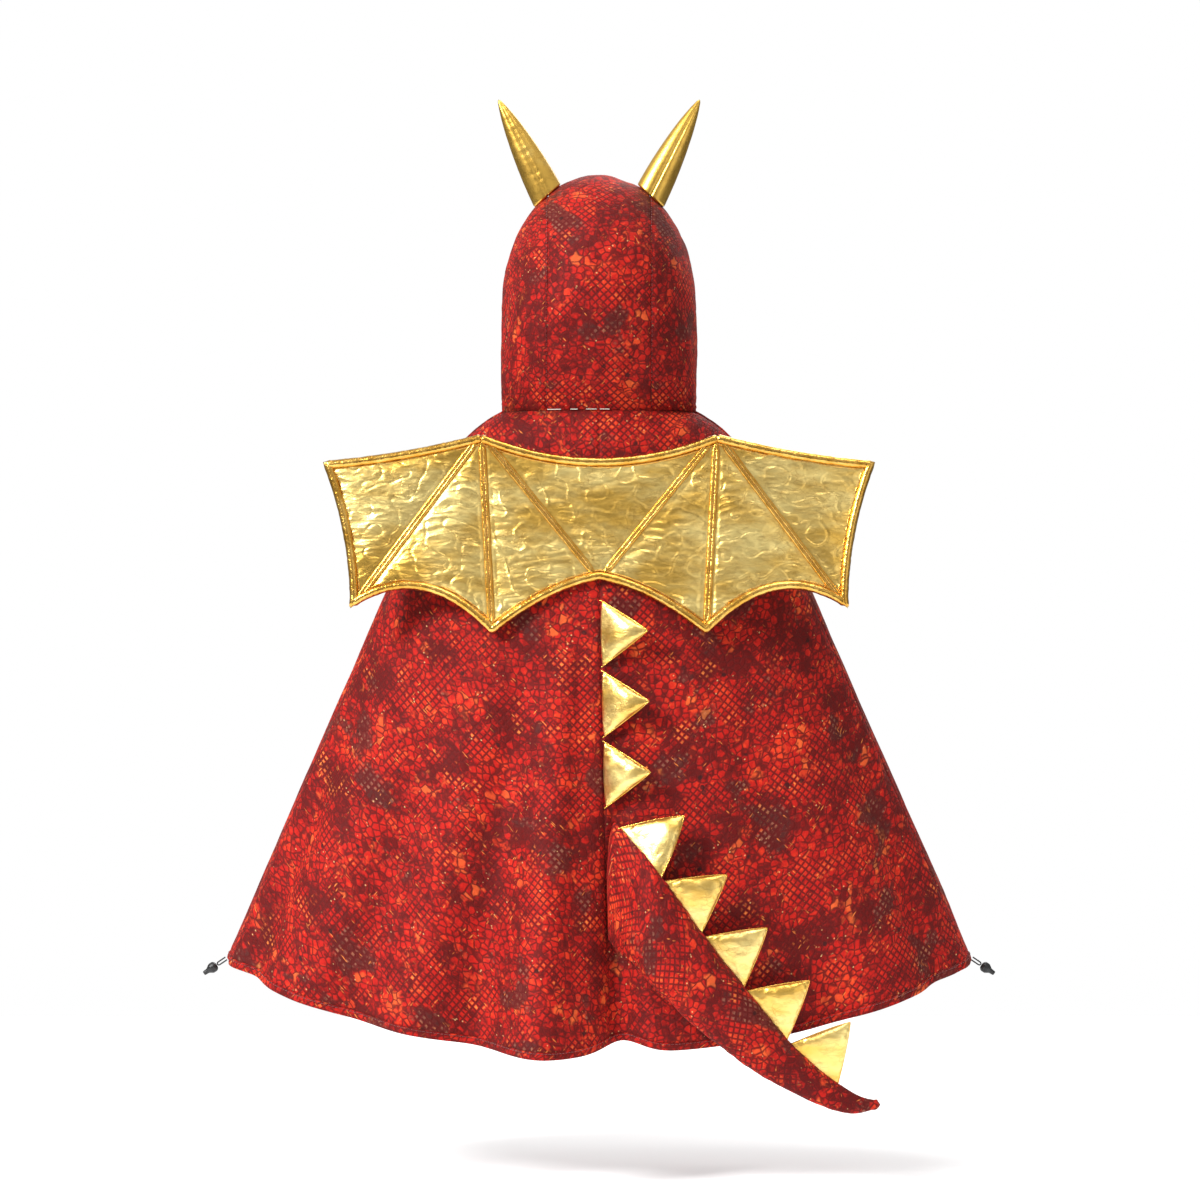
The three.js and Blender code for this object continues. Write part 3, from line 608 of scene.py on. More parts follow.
def applyAll(obj):
    bpy.context.view_layer.update()
    mesh = bpy.data.meshes.new_from_object(
        obj.evaluated_get(bpy.context.evaluated_depsgraph_get()), preserve_all_data_layers=True,
        depsgraph=bpy.context.evaluated_depsgraph_get())
    obj.modifiers.clear()
    obj.data = mesh


def inflate(obj, pressure, slack, frames, cap, stiff=6.0):
    # blows a closed cloth form up with its sewn lines held; free is 0 on a sewn line and 1 away from it
    held = obj.vertex_groups.new(name="sewn")
    free = obj.data.attributes["free"].data
    for i in range(len(obj.data.vertices)):
        if free[i].value < 0.999:
            held.add([i], clamp(1 - free[i].value, 0, 1), "REPLACE")
    start = [v.co.copy() for v in obj.data.vertices]
    cloth = obj.modifiers.new("filling", "CLOTH")
    s = cloth.settings
    s.quality = 5
    s.mass = 0.25
    s.tension_stiffness = s.compression_stiffness = stiff
    s.shear_stiffness = 3.0
    s.bending_stiffness = 0.35
    s.use_pressure = True
    s.uniform_pressure_force = pressure
    s.shrink_min = s.shrink_max = -slack
    s.vertex_group_mass = "sewn"
    s.pin_stiffness = 1.0
    s.effector_weights.gravity = 0
    cloth.collision_settings.use_collision = False
    cloth.point_cache.frame_start = 1
    cloth.point_cache.frame_end = frames + 2
    scene = bpy.context.scene
    for f in range(1, frames + 1):
        scene.frame_set(f)
    ready = obj.evaluated_get(bpy.context.evaluated_depsgraph_get()).data
    moved = [v.co.copy() for v in ready.vertices]
    obj.modifiers.remove(cloth)
    obj.vertex_groups.remove(held)
    scene.frame_set(1)
    for v, a, b in zip(obj.data.vertices, start, moved):
        step = b - a
        if step.length > cap * mm:
            step *= cap * mm / step.length
        v.co = a + step
    obj.data.update()


def refine(obj, levels):
    sub = obj.modifiers.new("smooth", "SUBSURF")
    sub.levels = sub.render_levels = levels
    applyAll(obj)


def crease(obj, amount):
    # moves each point along its normal by amount(place in millimetres, free)
    free = obj.data.attributes["free"].data
    shifts = [v.normal * (amount(v.co / mm, free[i].value) * mm) for i, v in enumerate(obj.data.vertices)]
    for v, shift in zip(obj.data.vertices, shifts):
        v.co += shift
    obj.data.update()


cape = {
    "neckHalfWidth": 107, "neckHalfDepth": 75, "flare": 0.434, "depthFlare": 0.13,
    "shoulderWidth": 42, "shoulderDepth": 13, "shoulderDrop": 28,
    "sideDrop": 600, "backDrop": 688, "frontDrop": 628, "hemBand": 9, "throat": 172,
    "facing": 40, "seamDrift": 1.7, "cloth": 2.0, "liningCloth": 1.0, "tape": 11,
    "foldStart": 250,
    "layerGap": 0.4,  # between the cloth, the lining and the tape
    # place in degrees, half width in degrees, how far out it stands at the hem
    "folds": [(-8.2, 5.6, 40), (2.8, 2.6, -27), (-17.5, 4.5, -17), (-52, 12, 10), (48, 14, 10),
              (128, 12, 10), (-128, 12, 10)],
    # softer folds between them
    "drapes": [(-27, 5, 10), (-38, 6, -12), (-66, 5, -12), (-76, 5, 6), (34, 5, -9), (62, 5, -12),
               (76, 5, 6), (66, 20, 2), (105, 8, -5), (-105, 8, -5), (150, 7, 6), (-150, 7, 6)],
    "sideSeam": 78,  # the back edge of the lap at the side seams
}


def halfWidth(d):
    c = cape
    return c["neckHalfWidth"] + c["shoulderWidth"] * (1 - math.exp(-d / c["shoulderDrop"])) + c["flare"] * d


def halfDepth(d):
    c = cape
    return c["neckHalfDepth"] + c["shoulderDepth"] * (1 - math.exp(-d / (c["shoulderDrop"] + 2))) + c["depthFlare"] * d


def hemDrop(angle):
    c = cape
    centre = c["backDrop"] if abs(angle) < 90 else c["frontDrop"]
    pipe = 5 * bump(angle + 8, 7) - 12 * bump(angle - 3.5, 3.6)  # the hem dips with the pipe fold and lifts beside it
    return c["sideDrop"] + (centre - c["sideDrop"]) * math.cos(math.radians(angle)) ** 2 + pipe


def foldOut(angle, d):
    c = cape
    span = c["backDrop"] - c["foldStart"]
    grow = clamp((d - c["foldStart"]) / span, 0, 1.1) ** lerp(1.3, 0.9, smooth(-3, -7, angle))
    out = grow * sum(o * bump(angle - at, half) for at, half, o in c["folds"])
    early = clamp((d - 215) / (c["backDrop"] - 215), 0, 1.1)
    return out + early * sum(o * bump(angle - at - 3 * noise.noise(Vector((at, d / 260, 0))), half)
                             for at, half, o in c["drapes"])


def ripple(angle, d):
    # small creases; they only go inwards where a wing, the spikes or the tail lie on the cloth
    x = angle * 4.6
    low = 2.4 * noise.noise(Vector((x / 52, d / 170, 3))) * smooth(60, 420, d)
    mid = 0.9 * noise.noise(Vector(((x + d * 0.3) / 21, d / 60, 9)))
    fine = 0.28 * noise.noise(Vector((x / 7.5, d / 10, 5)))
    total = low + mid + fine
    lies = max(smooth(330, 240, d) * smooth(100, 60, abs(angle)),
               smooth(-6, -3, angle) * smooth(44, 38, angle) * smooth(180, 230, d))
    return lerp(total, -abs(total) * 0.5, lies)


def capePoint(angle, d, out):
    a, b = halfWidth(d), halfDepth(d)
    s, c = math.sin(math.radians(angle)), math.cos(math.radians(angle))
    n = Vector((s / a, -c / b)).normalized() * (out + foldOut(angle, d) + ripple(angle, d))
    return Vector((a * s + n.x, -b * c + n.y, -d))


def degreesFor(distance, angle, d):
    run = math.hypot(halfWidth(d) * math.cos(math.radians(angle)), halfDepth(d) * math.sin(math.radians(angle)))
    return math.degrees(distance / run)


def backSeam(d):
    return cape["seamDrift"] * clamp((d - 150) / (cape["backDrop"] - 150), 0, 1)


def sideSeam(side):
    return lambda d: side * lerp(84, cape["sideSeam"], smooth(0, 200, d))


def frontEdge(side):
    return lambda d: side * cape["throat"]


def facingEdge(side):
    return lambda d: side * (cape["throat"] - degreesFor(cape["facing"], cape["throat"], d))


def denseEnds(t, k=0.8):
    return t - k * math.sin(2 * math.pi * t) / (2 * math.pi)


def capeSheet(name, start, end, nu, nv, out, thick, mat, nodes, slot, top=0.03, bottom=None, rolled=1.1, pucker=0.0,
              loose=0, **more):
    # a cut piece of the cape between two seams, given as angles for each drop; a loose one hangs inside the folds
    below = cape["hemBand"] - 1.5 if bottom is None else bottom

    def at(u, v):
        t = denseEnds(u)
        hem = hemDrop(lerp(start(660), end(660), t)) - below
        d = top + (hem - top) * denseEnds(v, 0.6)
        angle = lerp(start(d), end(d), t)
        trim = degreesFor(0.2, angle, d)
        angle += trim if t < 1e-6 else -trim if t > 1 - 1e-6 else 0
        run = degreesFor(1, angle, d)
        edge = min(abs(angle - start(d)), abs(end(d) - angle)) / run
        ends = min(edge, (hem - d) + 1, (d - top) + 0.5)
        drawn = out - rolled * bump(ends, 2.4)
        if loose:
            here = foldOut(angle, d)
            drawn += min(foldOut(angle + loose * k / 3, d) for k in (-3, -2, -1, 0, 1, 2, 3)) - here
        if pucker:
            gather = noise.noise(Vector((edge / 14, d / 5.5, 2 if start(d) < 0 else 7)))
            drawn += pucker * (gather - 0.25) * bump(edge - 4, 9)
        return capePoint(angle, d, drawn)

    obj = sheetPiece(name, nu, nv, at, mat, "cape", nodes, slot, thick, **more)
    declareSheet(obj)
    return obj


def makeCape():
    c = cape
    makeNeckTape()
    left, right = sideSeam(-1), sideSeam(1)
    for name, start, end, nu, nv, pucker, fromEnd in (
            ("back_left", left, backSeam, 150, 130, 0.5, True), ("back_right", backSeam, right, 150, 130, 0.9, False),
            ("front_left", frontEdge(-1), left, 90, 90, 0.4, True),
            ("front_right", right, frontEdge(1), 90, 90, 0.4, False)):
        capeSheet(name, start, end, nu, nv, 0, c["cloth"], mats["print"], [name + "_panel"], "red_print",
                  pucker=pucker, fromEnd=fromEnd)
    inner = -c["cloth"] - c["layerGap"]
    capeSheet("lining_back", lambda d: -90, lambda d: 90, 240, 70, inner, c["liningCloth"], mats["lining"],
              ["back_lining"], "red_lining", rolled=0, loose=1.6)
    for name, node, start, end, nu, nv, mat in (
            ("lining_front_left", "front_left_lining", facingEdge(-1), lambda d: -90, 50, 60, "lining"),
            ("lining_front_right", "front_right_lining", lambda d: 90, facingEdge(1), 50, 60, "lining"),
            ("facing_left", "front_left_facing", frontEdge(-1), facingEdge(-1), 14, 80, "print"),
            ("facing_right", "front_right_facing", facingEdge(1), frontEdge(1), 14, 80, "print")):
        capeSheet(name, start, end, nu, nv, inner, c["liningCloth"], mats[mat], [node], "red_" + mat, rolled=-0.2)
    print("cape panels and lining made")


def makeNeckTape():
    out = -cape["cloth"] - cape["layerGap"] - cape["liningCloth"] - cape["layerGap"]

    def at(u, v):
        angle = lerp(-cape["throat"], cape["throat"], u)
        return capePoint(angle, lerp(0.5, cape["tape"], v), out + 0.5 * math.sin(math.pi * v))

    band = sheetPiece("neck_tape_band", 150, 6, at, mats["lining"], "cape", ["neck_tape"], "red_lining", 0.9)
    declareSheet(band)


def hemStrip(name, start, end, nu, nodes):
    # the hem band wraps round the lower edge, so it is a closed strip
    def at(u, v):
        angle = lerp(start, end, u)
        hem = hemDrop(angle)
        turn = 2 * math.pi * v
        wave = 0.35 * noise.noise(Vector((angle * 0.9, 4, 8)))
        d = hem - cape["hemBand"] / 2 - (cape["hemBand"] / 2 - 0.15) * math.cos(turn)
        thick = 2.3 + 0.35 * math.cos(turn)
        out = -1.7 + thick * math.copysign(abs(math.sin(turn)) ** 0.45, math.sin(turn)) + wave * max(math.sin(turn), 0)
        return capePoint(angle, d, out)

    obj = closedPiece(name, nu, 16, at, mats["print"], "cape", nodes)
    rows = [capePoint(lerp(start, end, i / nu), hemDrop(lerp(start, end, i / nu)) - cape["hemBand"] + 2.0, 0.95)
            for i in range(nu + 1)]
    stitchRow(name + "_stitches", rows, mats["redThread"], "cape", 3.0, 1.4, 0.28)
    return obj


def makeHem():
    hemStrip("hem_back", -89.9, 89.9, 300, ["hem_band_back"])
    hemStrip("hem_front_left", -171.9, -90.1, 130, ["hem_band_front_left"])
    hemStrip("hem_front_right", 90.1, 171.9, 130, ["hem_band_front_right"])
    print("hem made")


def makeNeckThread():
    # four loose stitches that show along the neck seam
    for i, (a, b) in enumerate(((-56, -41), (-31, -23), (-14, -2.5), (1, 11.5))):
        def at(x):
            angle = math.degrees(math.asin(x / cape["neckHalfWidth"]))
            p = capePoint(angle, 0, 0.9)
            return Vector((p.x, p.y, 0.9))
        line = [at(lerp(a, b, t / 8)) for t in range(9)]
        tubePiece(f"neck_thread_{i + 1}", withEnds(line, 0.5), 0.5, mats["cream"], "cape", 8)


hood = {
    "pivot": 65, "rise": 118, "round": 34, "face": 105, "corner": 142, "panelHalf": 57, "binding": 3.5,
    "cloth": 2.0, "wrinkle": 1.5,
}
archHigh = 75 / 140


def hoodRadius(fan):
    s = math.sin(math.radians(fan))
    back = hood["pivot"] + cape["neckHalfDepth"]
    return back + hood["rise"] * max(s, 0) ** 1.5 + hood["round"] * math.sin(math.radians(2 * fan))


def hoodSurface(angle, fan):
    reach = hoodRadius(fan) * (1 - archHigh + archHigh * math.cos(math.radians(angle)))
    return Vector((
        cape["neckHalfWidth"] * math.sin(math.radians(angle)),
        hood["pivot"] - reach * math.cos(math.radians(fan)),
        reach * math.sin(math.radians(fan)) + 0.03))


def hoodPoint(angle, fan, out):
    p = hoodSurface(angle, fan)
    across = hoodSurface(angle + 0.5, fan) - hoodSurface(angle - 0.5, fan)
    along = hoodSurface(angle, fan + 0.5) - hoodSurface(angle, max(fan - 0.5, 0))
    p -= along.cross(across).normalized() * out
    p.z = max(p.z, 0.03)
    return p


def hoodRipple(angle, fan):
    x, y = angle * 1.87, fan * 2.9
    low = noise.noise(Vector((x / 46, y / 60, 11)))
    mid = noise.noise(Vector(((x - y * 0.25) / 20, y / 26, 17)))
    fine = noise.noise(Vector((x / 7, y / 8, 23)))
    slump = bump(fan - 6, 7) * noise.noise(Vector((x / 16, y / 9, 31)))  # cloth settles above the neck seam
    rightSeam = bump(angle - 36, 7) * noise.noise(Vector((x / 12, y / 7.5, 37)))
    return hood["wrinkle"] * (1.1 * low + 0.8 * mid + 0.22 * fine + 1.1 * slump + 0.8 * rightSeam)


def hoodSheet(name, start, end, nu, nv, out, thick, mat, nodes, slot, rolled=1.3, rough=1.0, **more):
    def at(u, v):
        t = denseEnds(u)
        angle = lerp(start, end, t)
        fan = hood["face"] * denseEnds(v, 0.5)
        trim = math.degrees(0.2 / cape["neckHalfWidth"])
        angle += trim if u == 0 else -trim if u == 1 else 0
        edge = min(angle - start, end - angle) * 1.87
        low = fan * 2.4
        drawn = out + rough * hoodRipple(angle, fan) * smooth(0, 14, low) * smooth(0, 8, (hood["face"] - fan) * 3)
        drawn -= rolled * bump(min(edge, low + 1), 2.6)
        drawn += 0.45 * rough * (noise.noise(Vector((edge / 12, fan / 2.0, 5))) - 0.2) * bump(edge - 4, 8)
        p = hoodPoint(angle, fan, drawn)
        p.z -= 1.1 * bump(low, 0.8)  # the lowest edge is tucked into the neck seam
        return p

    obj = sheetPiece(name, nu, nv, at, mat, None, nodes, slot, thick, centre=(0, 0.02, 0.1), **more)
    declareSheet(obj)
    return obj


def seatHood(obj):
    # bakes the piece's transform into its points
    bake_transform(obj)


def makeHood():
    seam = math.degrees(math.asin(hood["panelHalf"] / cape["neckHalfWidth"]))
    c = hood["corner"]
    left, centre, right = (
        hoodSheet(name, start, end, nu, 110, 0, hood["cloth"], mats["print"], [node], "red_print", fromEnd=fromEnd)
        for name, node, start, end, nu, fromEnd in (
            ("hood_left", "hood_left_panel", -c, -seam, 90, True),
            ("hood_centre", "hood_center_panel", -seam, seam, 72, False),
            ("hood_right", "hood_right_panel", seam, c, 90, False)))
    inner = hoodSheet("hood_lining_cloth", -c, c, 110, 60, -2.4, 1.0, mats["lining"], ["hood_lining"], "red_lining",
                      rolled=0)
    ahead = Vector((0, math.sin(math.radians(hood["face"])), math.cos(math.radians(hood["face"]))))
    edge = [hoodPoint(lerp(-c, c, i / 140), hood["face"], -1.0) + ahead * (hood["binding"] + 0.2) for i in range(141)]
    binding = tubePiece("hood_binding", edge, hood["binding"], mats["print"], None, 14, True,
                        ["hood_face_binding"])
    for obj in (left, centre, right, inner, binding):
        seatHood(obj)
    for side in (-1, 1):
        line = [hoodPoint(side * seam, lerp(2, 103, i / 120), 0.0) for i in range(121)]
        seatHood(stitchRow(f"hood_seam_{'left' if side < 0 else 'right'}", line, mats["redThread"], None, 3, 2, 0.25))
    print("hood made")


horn = {"length": 119, "radius": 18.8, "flat": 0.82, "at": 76, "lean": 27, "tip": 2.2, "puff": 2.2}


def outsideHood(p):
    y, z = hood["pivot"] - p.y, p.z - 0.03
    fan = math.degrees(math.atan2(z, y))
    reach = math.hypot(y, z) / hoodRadius(fan)
    return (p.x / cape["neckHalfWidth"]) ** 2 + ((reach - 1 + archHigh) / archHigh) ** 2 - 1


def makeHorn(name, side):
    h = horn
    seam = math.degrees(math.asin(hood["panelHalf"] / cape["neckHalfWidth"]))
    root = hoodSurface(side * seam, h["at"])
    lean = math.radians(h["lean"])
    up = Vector((side * math.sin(lean), 0, math.cos(lean)))
    across = Vector((side * up.z, 0, -side * up.x))
    foot = {}

    def radiusAt(t):
        return max(h["radius"] * (1 - t ** 1.6) ** 0.72, h["tip"])

    def at(u, v):
        t = clamp((v - 0.04) / 0.96, 0, 1)
        turn = 2 * math.pi * u - math.pi / 2
        seamPull = bump(math.sin(turn / 2 + math.pi / 4) * 2, 0.16) + bump(math.cos(turn / 2 + math.pi / 4) * 2, 0.16)
        r = radiusAt(t) * (1 - 0.05 * seamPull)
        if t > 0.955:  # turned point
            r = h["tip"] * math.sqrt(max(1 - ((t - 0.955) / 0.045) ** 2, 0)) * 1.15
        if v < 0.04:
            r *= v / 0.04
        p = root + across * (r * math.cos(turn)) + Vector((0, r * h["flat"] * math.sin(turn), 0))
        key = round(u * 1000)
        if t == 0 or key not in foot:
            q = root + across * (h["radius"] * math.cos(turn))
            q = q + Vector((0, h["radius"] * h["flat"] * math.sin(turn), 0))
            low, high = -30.0, 40.0
            for _ in range(26):
                middle = (low + high) / 2
                if outsideHood(q + up * middle) > 0:
                    high = middle
                else:
                    low = middle
            foot[key] = high + 0.4
        return p + up * lerp(foot[key], h["length"], t)

    def marks(p):
        q = p - root
        x, z = q.dot(across), q.dot(up)
        s = abs(x) / 3.0
        base = (z - 6) / 8
        return clamp(min(s, base, (h["length"] - 5 - z) / 12), 0, 1)

    obj = closedPiece(f"horn_{name}", 36, 46, at, mats["hornFoil"], f"horn_{name}",
                      [f"horn_{name}_{part}" for part in ("outer_cover", "inner_cover", "stuffing")],
                      marks)
    inflate(obj, 3.0, 0.05, 14, h["puff"])
    refine(obj, 1)

    def pucker(p, free):
        q = p - root
        x, z = q.dot(across), q.dot(up)
        t = clamp(z / h["length"], 0, 1)
        near = bump(x, 5)
        gather = noise.noise(Vector((0, z / 4.2, q.y / 14 + 3 * side)))
        ring = noise.noise(Vector((x / 16, z / 11, q.y / 16)))
        return (0.5 * gather * near + 0.15 * ring) * (1 - t) ** 0.4 - 1.7 * bump(x, 1.2) * (1 - t * t)

    crease(obj, pucker)
    return obj


wing = {
    "round": 560, "peak": (127, -27), "dip": -53, "tip": (299, -56), "corner": (268, -216), "point": (115, -243),
    "notch": -184, "sideCut": 8, "scallop": 34, "notchCut": 9, "fill": 8.5,
    "bead": 4.7, "beadIn": 4.2, "rib": 2.1,
    "standOff": 88.4, "seamIn": 2.35, "beadOut": 4.0, "seamOut": 3.3, "seam": 1.15, "stitchOut": 4.45,
}


def wingPoint(x, z, out):
    depth = wing["standOff"] - cape["depthFlare"] * z
    return Vector((x, -depth * math.sqrt(1 - (x / wing["round"]) ** 2) - out, z))


def bow(a, b, rise, t):
    return Vector((lerp(a[0], b[0], t), lerp(a[1], b[1], t) + rise * 4 * t * (1 - t)))


def coons(top, bottom, start, end):
    def at(u, v):
        p = top(u) * (1 - v) + bottom(u) * v + start(v) * (1 - u) + end(v) * u
        return p - top(0) * (1 - u) * (1 - v) - top(1) * u * (1 - v) - bottom(0) * (1 - u) * v - bottom(1) * u * v
    return at


def toLine(p, a, b):
    # distance from a point to a straight line between two points
    ab = b - a
    t = clamp((p - a).dot(ab) / max(ab.length_squared, 1e-9), 0, 1)
    return (p - a - ab * t).length


def wingOutlines():
    w = wing
    peak, tip, corner, point = w["peak"], w["tip"], w["corner"], w["point"]
    top = [bow(tip, peak, -4, t / 24) for t in range(25)]
    side = [bow(tip, corner, 0, t / 18) + Vector((-w["sideCut"] * 4 * (t / 18) * (1 - t / 18), 0)) for t in range(19)]
    bottom = [bow(corner, point, w["scallop"], t / 24) for t in range(25)]
    outer = top[::-1] + side[1:] + bottom[1:]  # peak, tip, corner, point
    dipLine = [bow((-peak[0], peak[1]), peak, w["dip"] - peak[1], t / 40) for t in range(41)]
    notch = [bow((-point[0], point[1]), (0, w["notch"]), w["notchCut"], t / 24) for t in range(25)]
    notch += [bow((0, w["notch"]), point, w["notchCut"], t / 24) for t in range(1, 25)]
    return outer, dipLine, notch


def beadPath(line, inside, height):
    # the line moved inwards by the bead's stand-in, at a height over the wing's back
    out = []
    for i, p in enumerate(line):
        along = (line[min(i + 1, len(line) - 1)] - line[max(i - 1, 0)]).normalized()
        out.append(p + Vector((-along.y, along.x)) * inside)
    return [wingPoint(p.x, p.y, height) for p in evenlyFlat(out)]


def evenlyFlat(points):
    flat = evenly([Vector((p.x, p.y, 0)) for p in points], 3.0, 2)
    return [Vector((p.x, p.y)) for p in flat]


def makeLeaf(name, body, patch, nu, nv, seams, nodes):
    w = wing

    def free(x, z):
        p = Vector((x, z))
        return min(toLine(p, a, b) for a, b in seams)

    def at(u, v):
        front = v <= 0.5
        p = patch(denseEnds(u, 0.35), v * 2 if front else 2 - v * 2)
        edge = min(u, 1 - u, v * 2 if front else 2 - v * 2, 1 - (v * 2 if front else 2 - v * 2))
        if front:
            d = free(p.x, p.y)
            return wingPoint(p.x, p.y, 2.4 + w["fill"] * 0.42 * (1 - math.exp(-(d / 16) ** 1.3)))
        return wingPoint(p.x, p.y, 0.3 + 2.1 * bump(edge, 0.02))

    def marks(p):
        back = -w["standOff"] + cape["depthFlare"] * p.z
        if -p.y < -back * math.sqrt(1 - (p.x / w["round"]) ** 2) + 1.2:
            return 0.0
        return clamp((free(p.x, p.z) - 5.5) / 5, 0, 1)

    obj = closedPiece(name, nu, nv * 2, at, mats["foil"], body, nodes, marks)
    inflate(obj, 3.4, 0.045, 16, w["fill"])
    refine(obj, 2)

    def foilCrease(p, free):
        soft = Vector((p.x / 30, p.z / 10.5, 3))
        drift = 1.4 * noise.noise(Vector((p.x / 60, p.z / 44, 9)))
        big = abs(noise.noise(soft + Vector((0, drift, 0))))
        small = abs(noise.noise(Vector((p.x / 13 + drift, p.z / 4.6, 21))))
        sharp = abs(noise.noise(Vector(((p.x + p.z * 0.4) / 24, (p.z - p.x * 0.25) / 22, 33))))
        pull = bump(free - 0.35, 0.35)
        relief = 0.9 - 1.7 * big - 0.45 * small - 0.8 * (0.12 - min(sharp, 0.12)) * 6
        return relief * smooth(0, 0.8, free) + 0.25 * pull * small

    crease(obj, foilCrease)
    return obj


def foilTube(name, path, radius, body, mat="piping"):
    # piping with the small gathers of foil cloth rolled over a cord
    def thick(s):
        close, wide = noise.noise(Vector((s / 3.4, radius, 2))), noise.noise(Vector((s / 11, 5, radius)))
        return radius * (1 + 0.07 * close + 0.06 * wide)
    return tubePiece(name, withEnds(path, radius), thick, mats[mat], body, 14)


def makeWings():
    w = wing
    outer, dipLine, notch = wingOutlines()
    peak, tip, corner, point = w["peak"], w["tip"], w["corner"], w["point"]
    mid = (0, w["notch"])
    for name, side in (("right", 1), ("left", -1)):
        def flip(p):
            return Vector((p[0] * side, p[1]))
        pathOuter = [flip(p) for p in outer]
        leaf = coons(
            lambda u: bow(tip, peak, -4, u), lambda u: bow(corner, point, w["scallop"], u),
            lambda v: bow(tip, corner, 0, v) + Vector((-w["sideCut"] * 4 * v * (1 - v), 0)),
            lambda v: bow(peak, point, 0, v))

        def patch(u, v, leaf=leaf, side=side):
            p = leaf(u, v)
            return Vector((p.x * side, p.y))

        coarse = [flip(p) for p in (outer[::3] + [outer[-1]])]
        seams = list(zip(coarse, coarse[1:])) + [(flip(peak), flip(corner)), (flip(peak), flip(point))]
        makeLeaf(f"wing_{name}", f"wing_{name}", patch, 50, 52, seams,
                 [f"wing_{name}_backing", f"wing_{name}_padding", f"wing_{name}_cover"])
        inside = -w["beadIn"] * side
        foilTube(f"wing_{name}_edge", beadPath(pathOuter, inside, w["beadOut"]), w["bead"], f"wing_{name}")
        groove = beadPath(pathOuter, inside * w["seamIn"], w["seamOut"])
        foilTube(f"wing_{name}_edge_seam", groove, w["seam"], f"wing_{name}")
        stitchRow(f"wing_{name}_edge_stitches", beadPath(pathOuter, inside * w["seamIn"], w["stitchOut"]),
                  mats["goldThread"], f"wing_{name}", 2, 1, 0.3)
        makeRib(f"wing_{name}_rib", f"wing_{name}", flip(peak), flip(corner))
        makeRib(f"wing_{name}_crease_rib", "cape", flip(peak), flip(point))
        makeRib(f"wing_{name}_center_rib", "cape", flip(peak), Vector(mid))
    flipPeak, flipPoint = (-peak[0], peak[1]), (-point[0], point[1])

    def lower(u):
        return bow(flipPoint, mid, w["notchCut"], u * 2) if u < 0.5 else bow(mid, point, w["notchCut"], u * 2 - 1)

    centre = coons(lambda u: bow(flipPeak, peak, w["dip"] - peak[1], u), lower,
                   lambda v: bow(flipPeak, flipPoint, 0, v), lambda v: bow(peak, point, 0, v))
    lines = dipLine[::4] + [dipLine[-1]]
    under = notch[::4]
    seams = list(zip(lines, lines[1:])) + list(zip(under, under[1:]))
    for s in (-1, 1):
        seams += [(Vector((s * peak[0], peak[1])), Vector((s * point[0], point[1]))),
                  (Vector((s * peak[0], peak[1])), Vector(mid))]
    makeLeaf("wing_center", "cape", centre, 72, 42, seams,
             ["wing_center_backing", "wing_center_padding", "wing_center_cover"])
    foilTube("wing_center_top_edge", beadPath(dipLine, -w["beadIn"], w["beadOut"]), w["bead"], "cape")
    foilTube("wing_center_bottom_edge", beadPath(notch, w["beadIn"], w["beadOut"]), w["bead"], "cape")
    for edge, line, inside in (("top", dipLine, -1), ("bottom", notch, 1)):
        shift = inside * w["beadIn"] * w["seamIn"]
        foilTube(f"wing_center_{edge}_seam", beadPath(line, shift, w["seamOut"]), w["seam"], "cape")
        stitchRow(f"wing_center_{edge}_stitches", beadPath(line, shift, w["stitchOut"]), mats["goldThread"],
                  "cape", 2, 1, 0.3)
    print("wings made")


def makeRib(name, body, a, b):
    w = wing
    along = (b - a).normalized()
    side = Vector((-along.y, along.x))
    a, b = a + along * 7, b - along * 9
    for k, s in enumerate((-1, 1)):
        line = [a.lerp(b, t / 60) + side * (s * 1.9 * smooth(0, 0.06, min(t / 60, 1 - t / 60))) for t in range(61)]
        foilTube(f"{name}_{k + 1}", [wingPoint(p.x, p.y, 3.3) for p in line], w["rib"], body)
    line = [wingPoint(p.x, p.y, 4.6) for p in (a.lerp(b, t / 60) for t in range(61))]
    stitchRow(f"{name}_stitches", line, mats["goldThread"], body, 2, 1, 0.3)


spike = {"reach": 55, "edge": 1.3, "puff": 10.5, "standOff": 24, "fill": 3.0}
backSpikes = {"first": 206, "last": 429, "count": 3, "gap": 3}
tailSpikes = {"first": 22, "last": 378, "count": 5, "gap": 3, "sunk": -5.0}


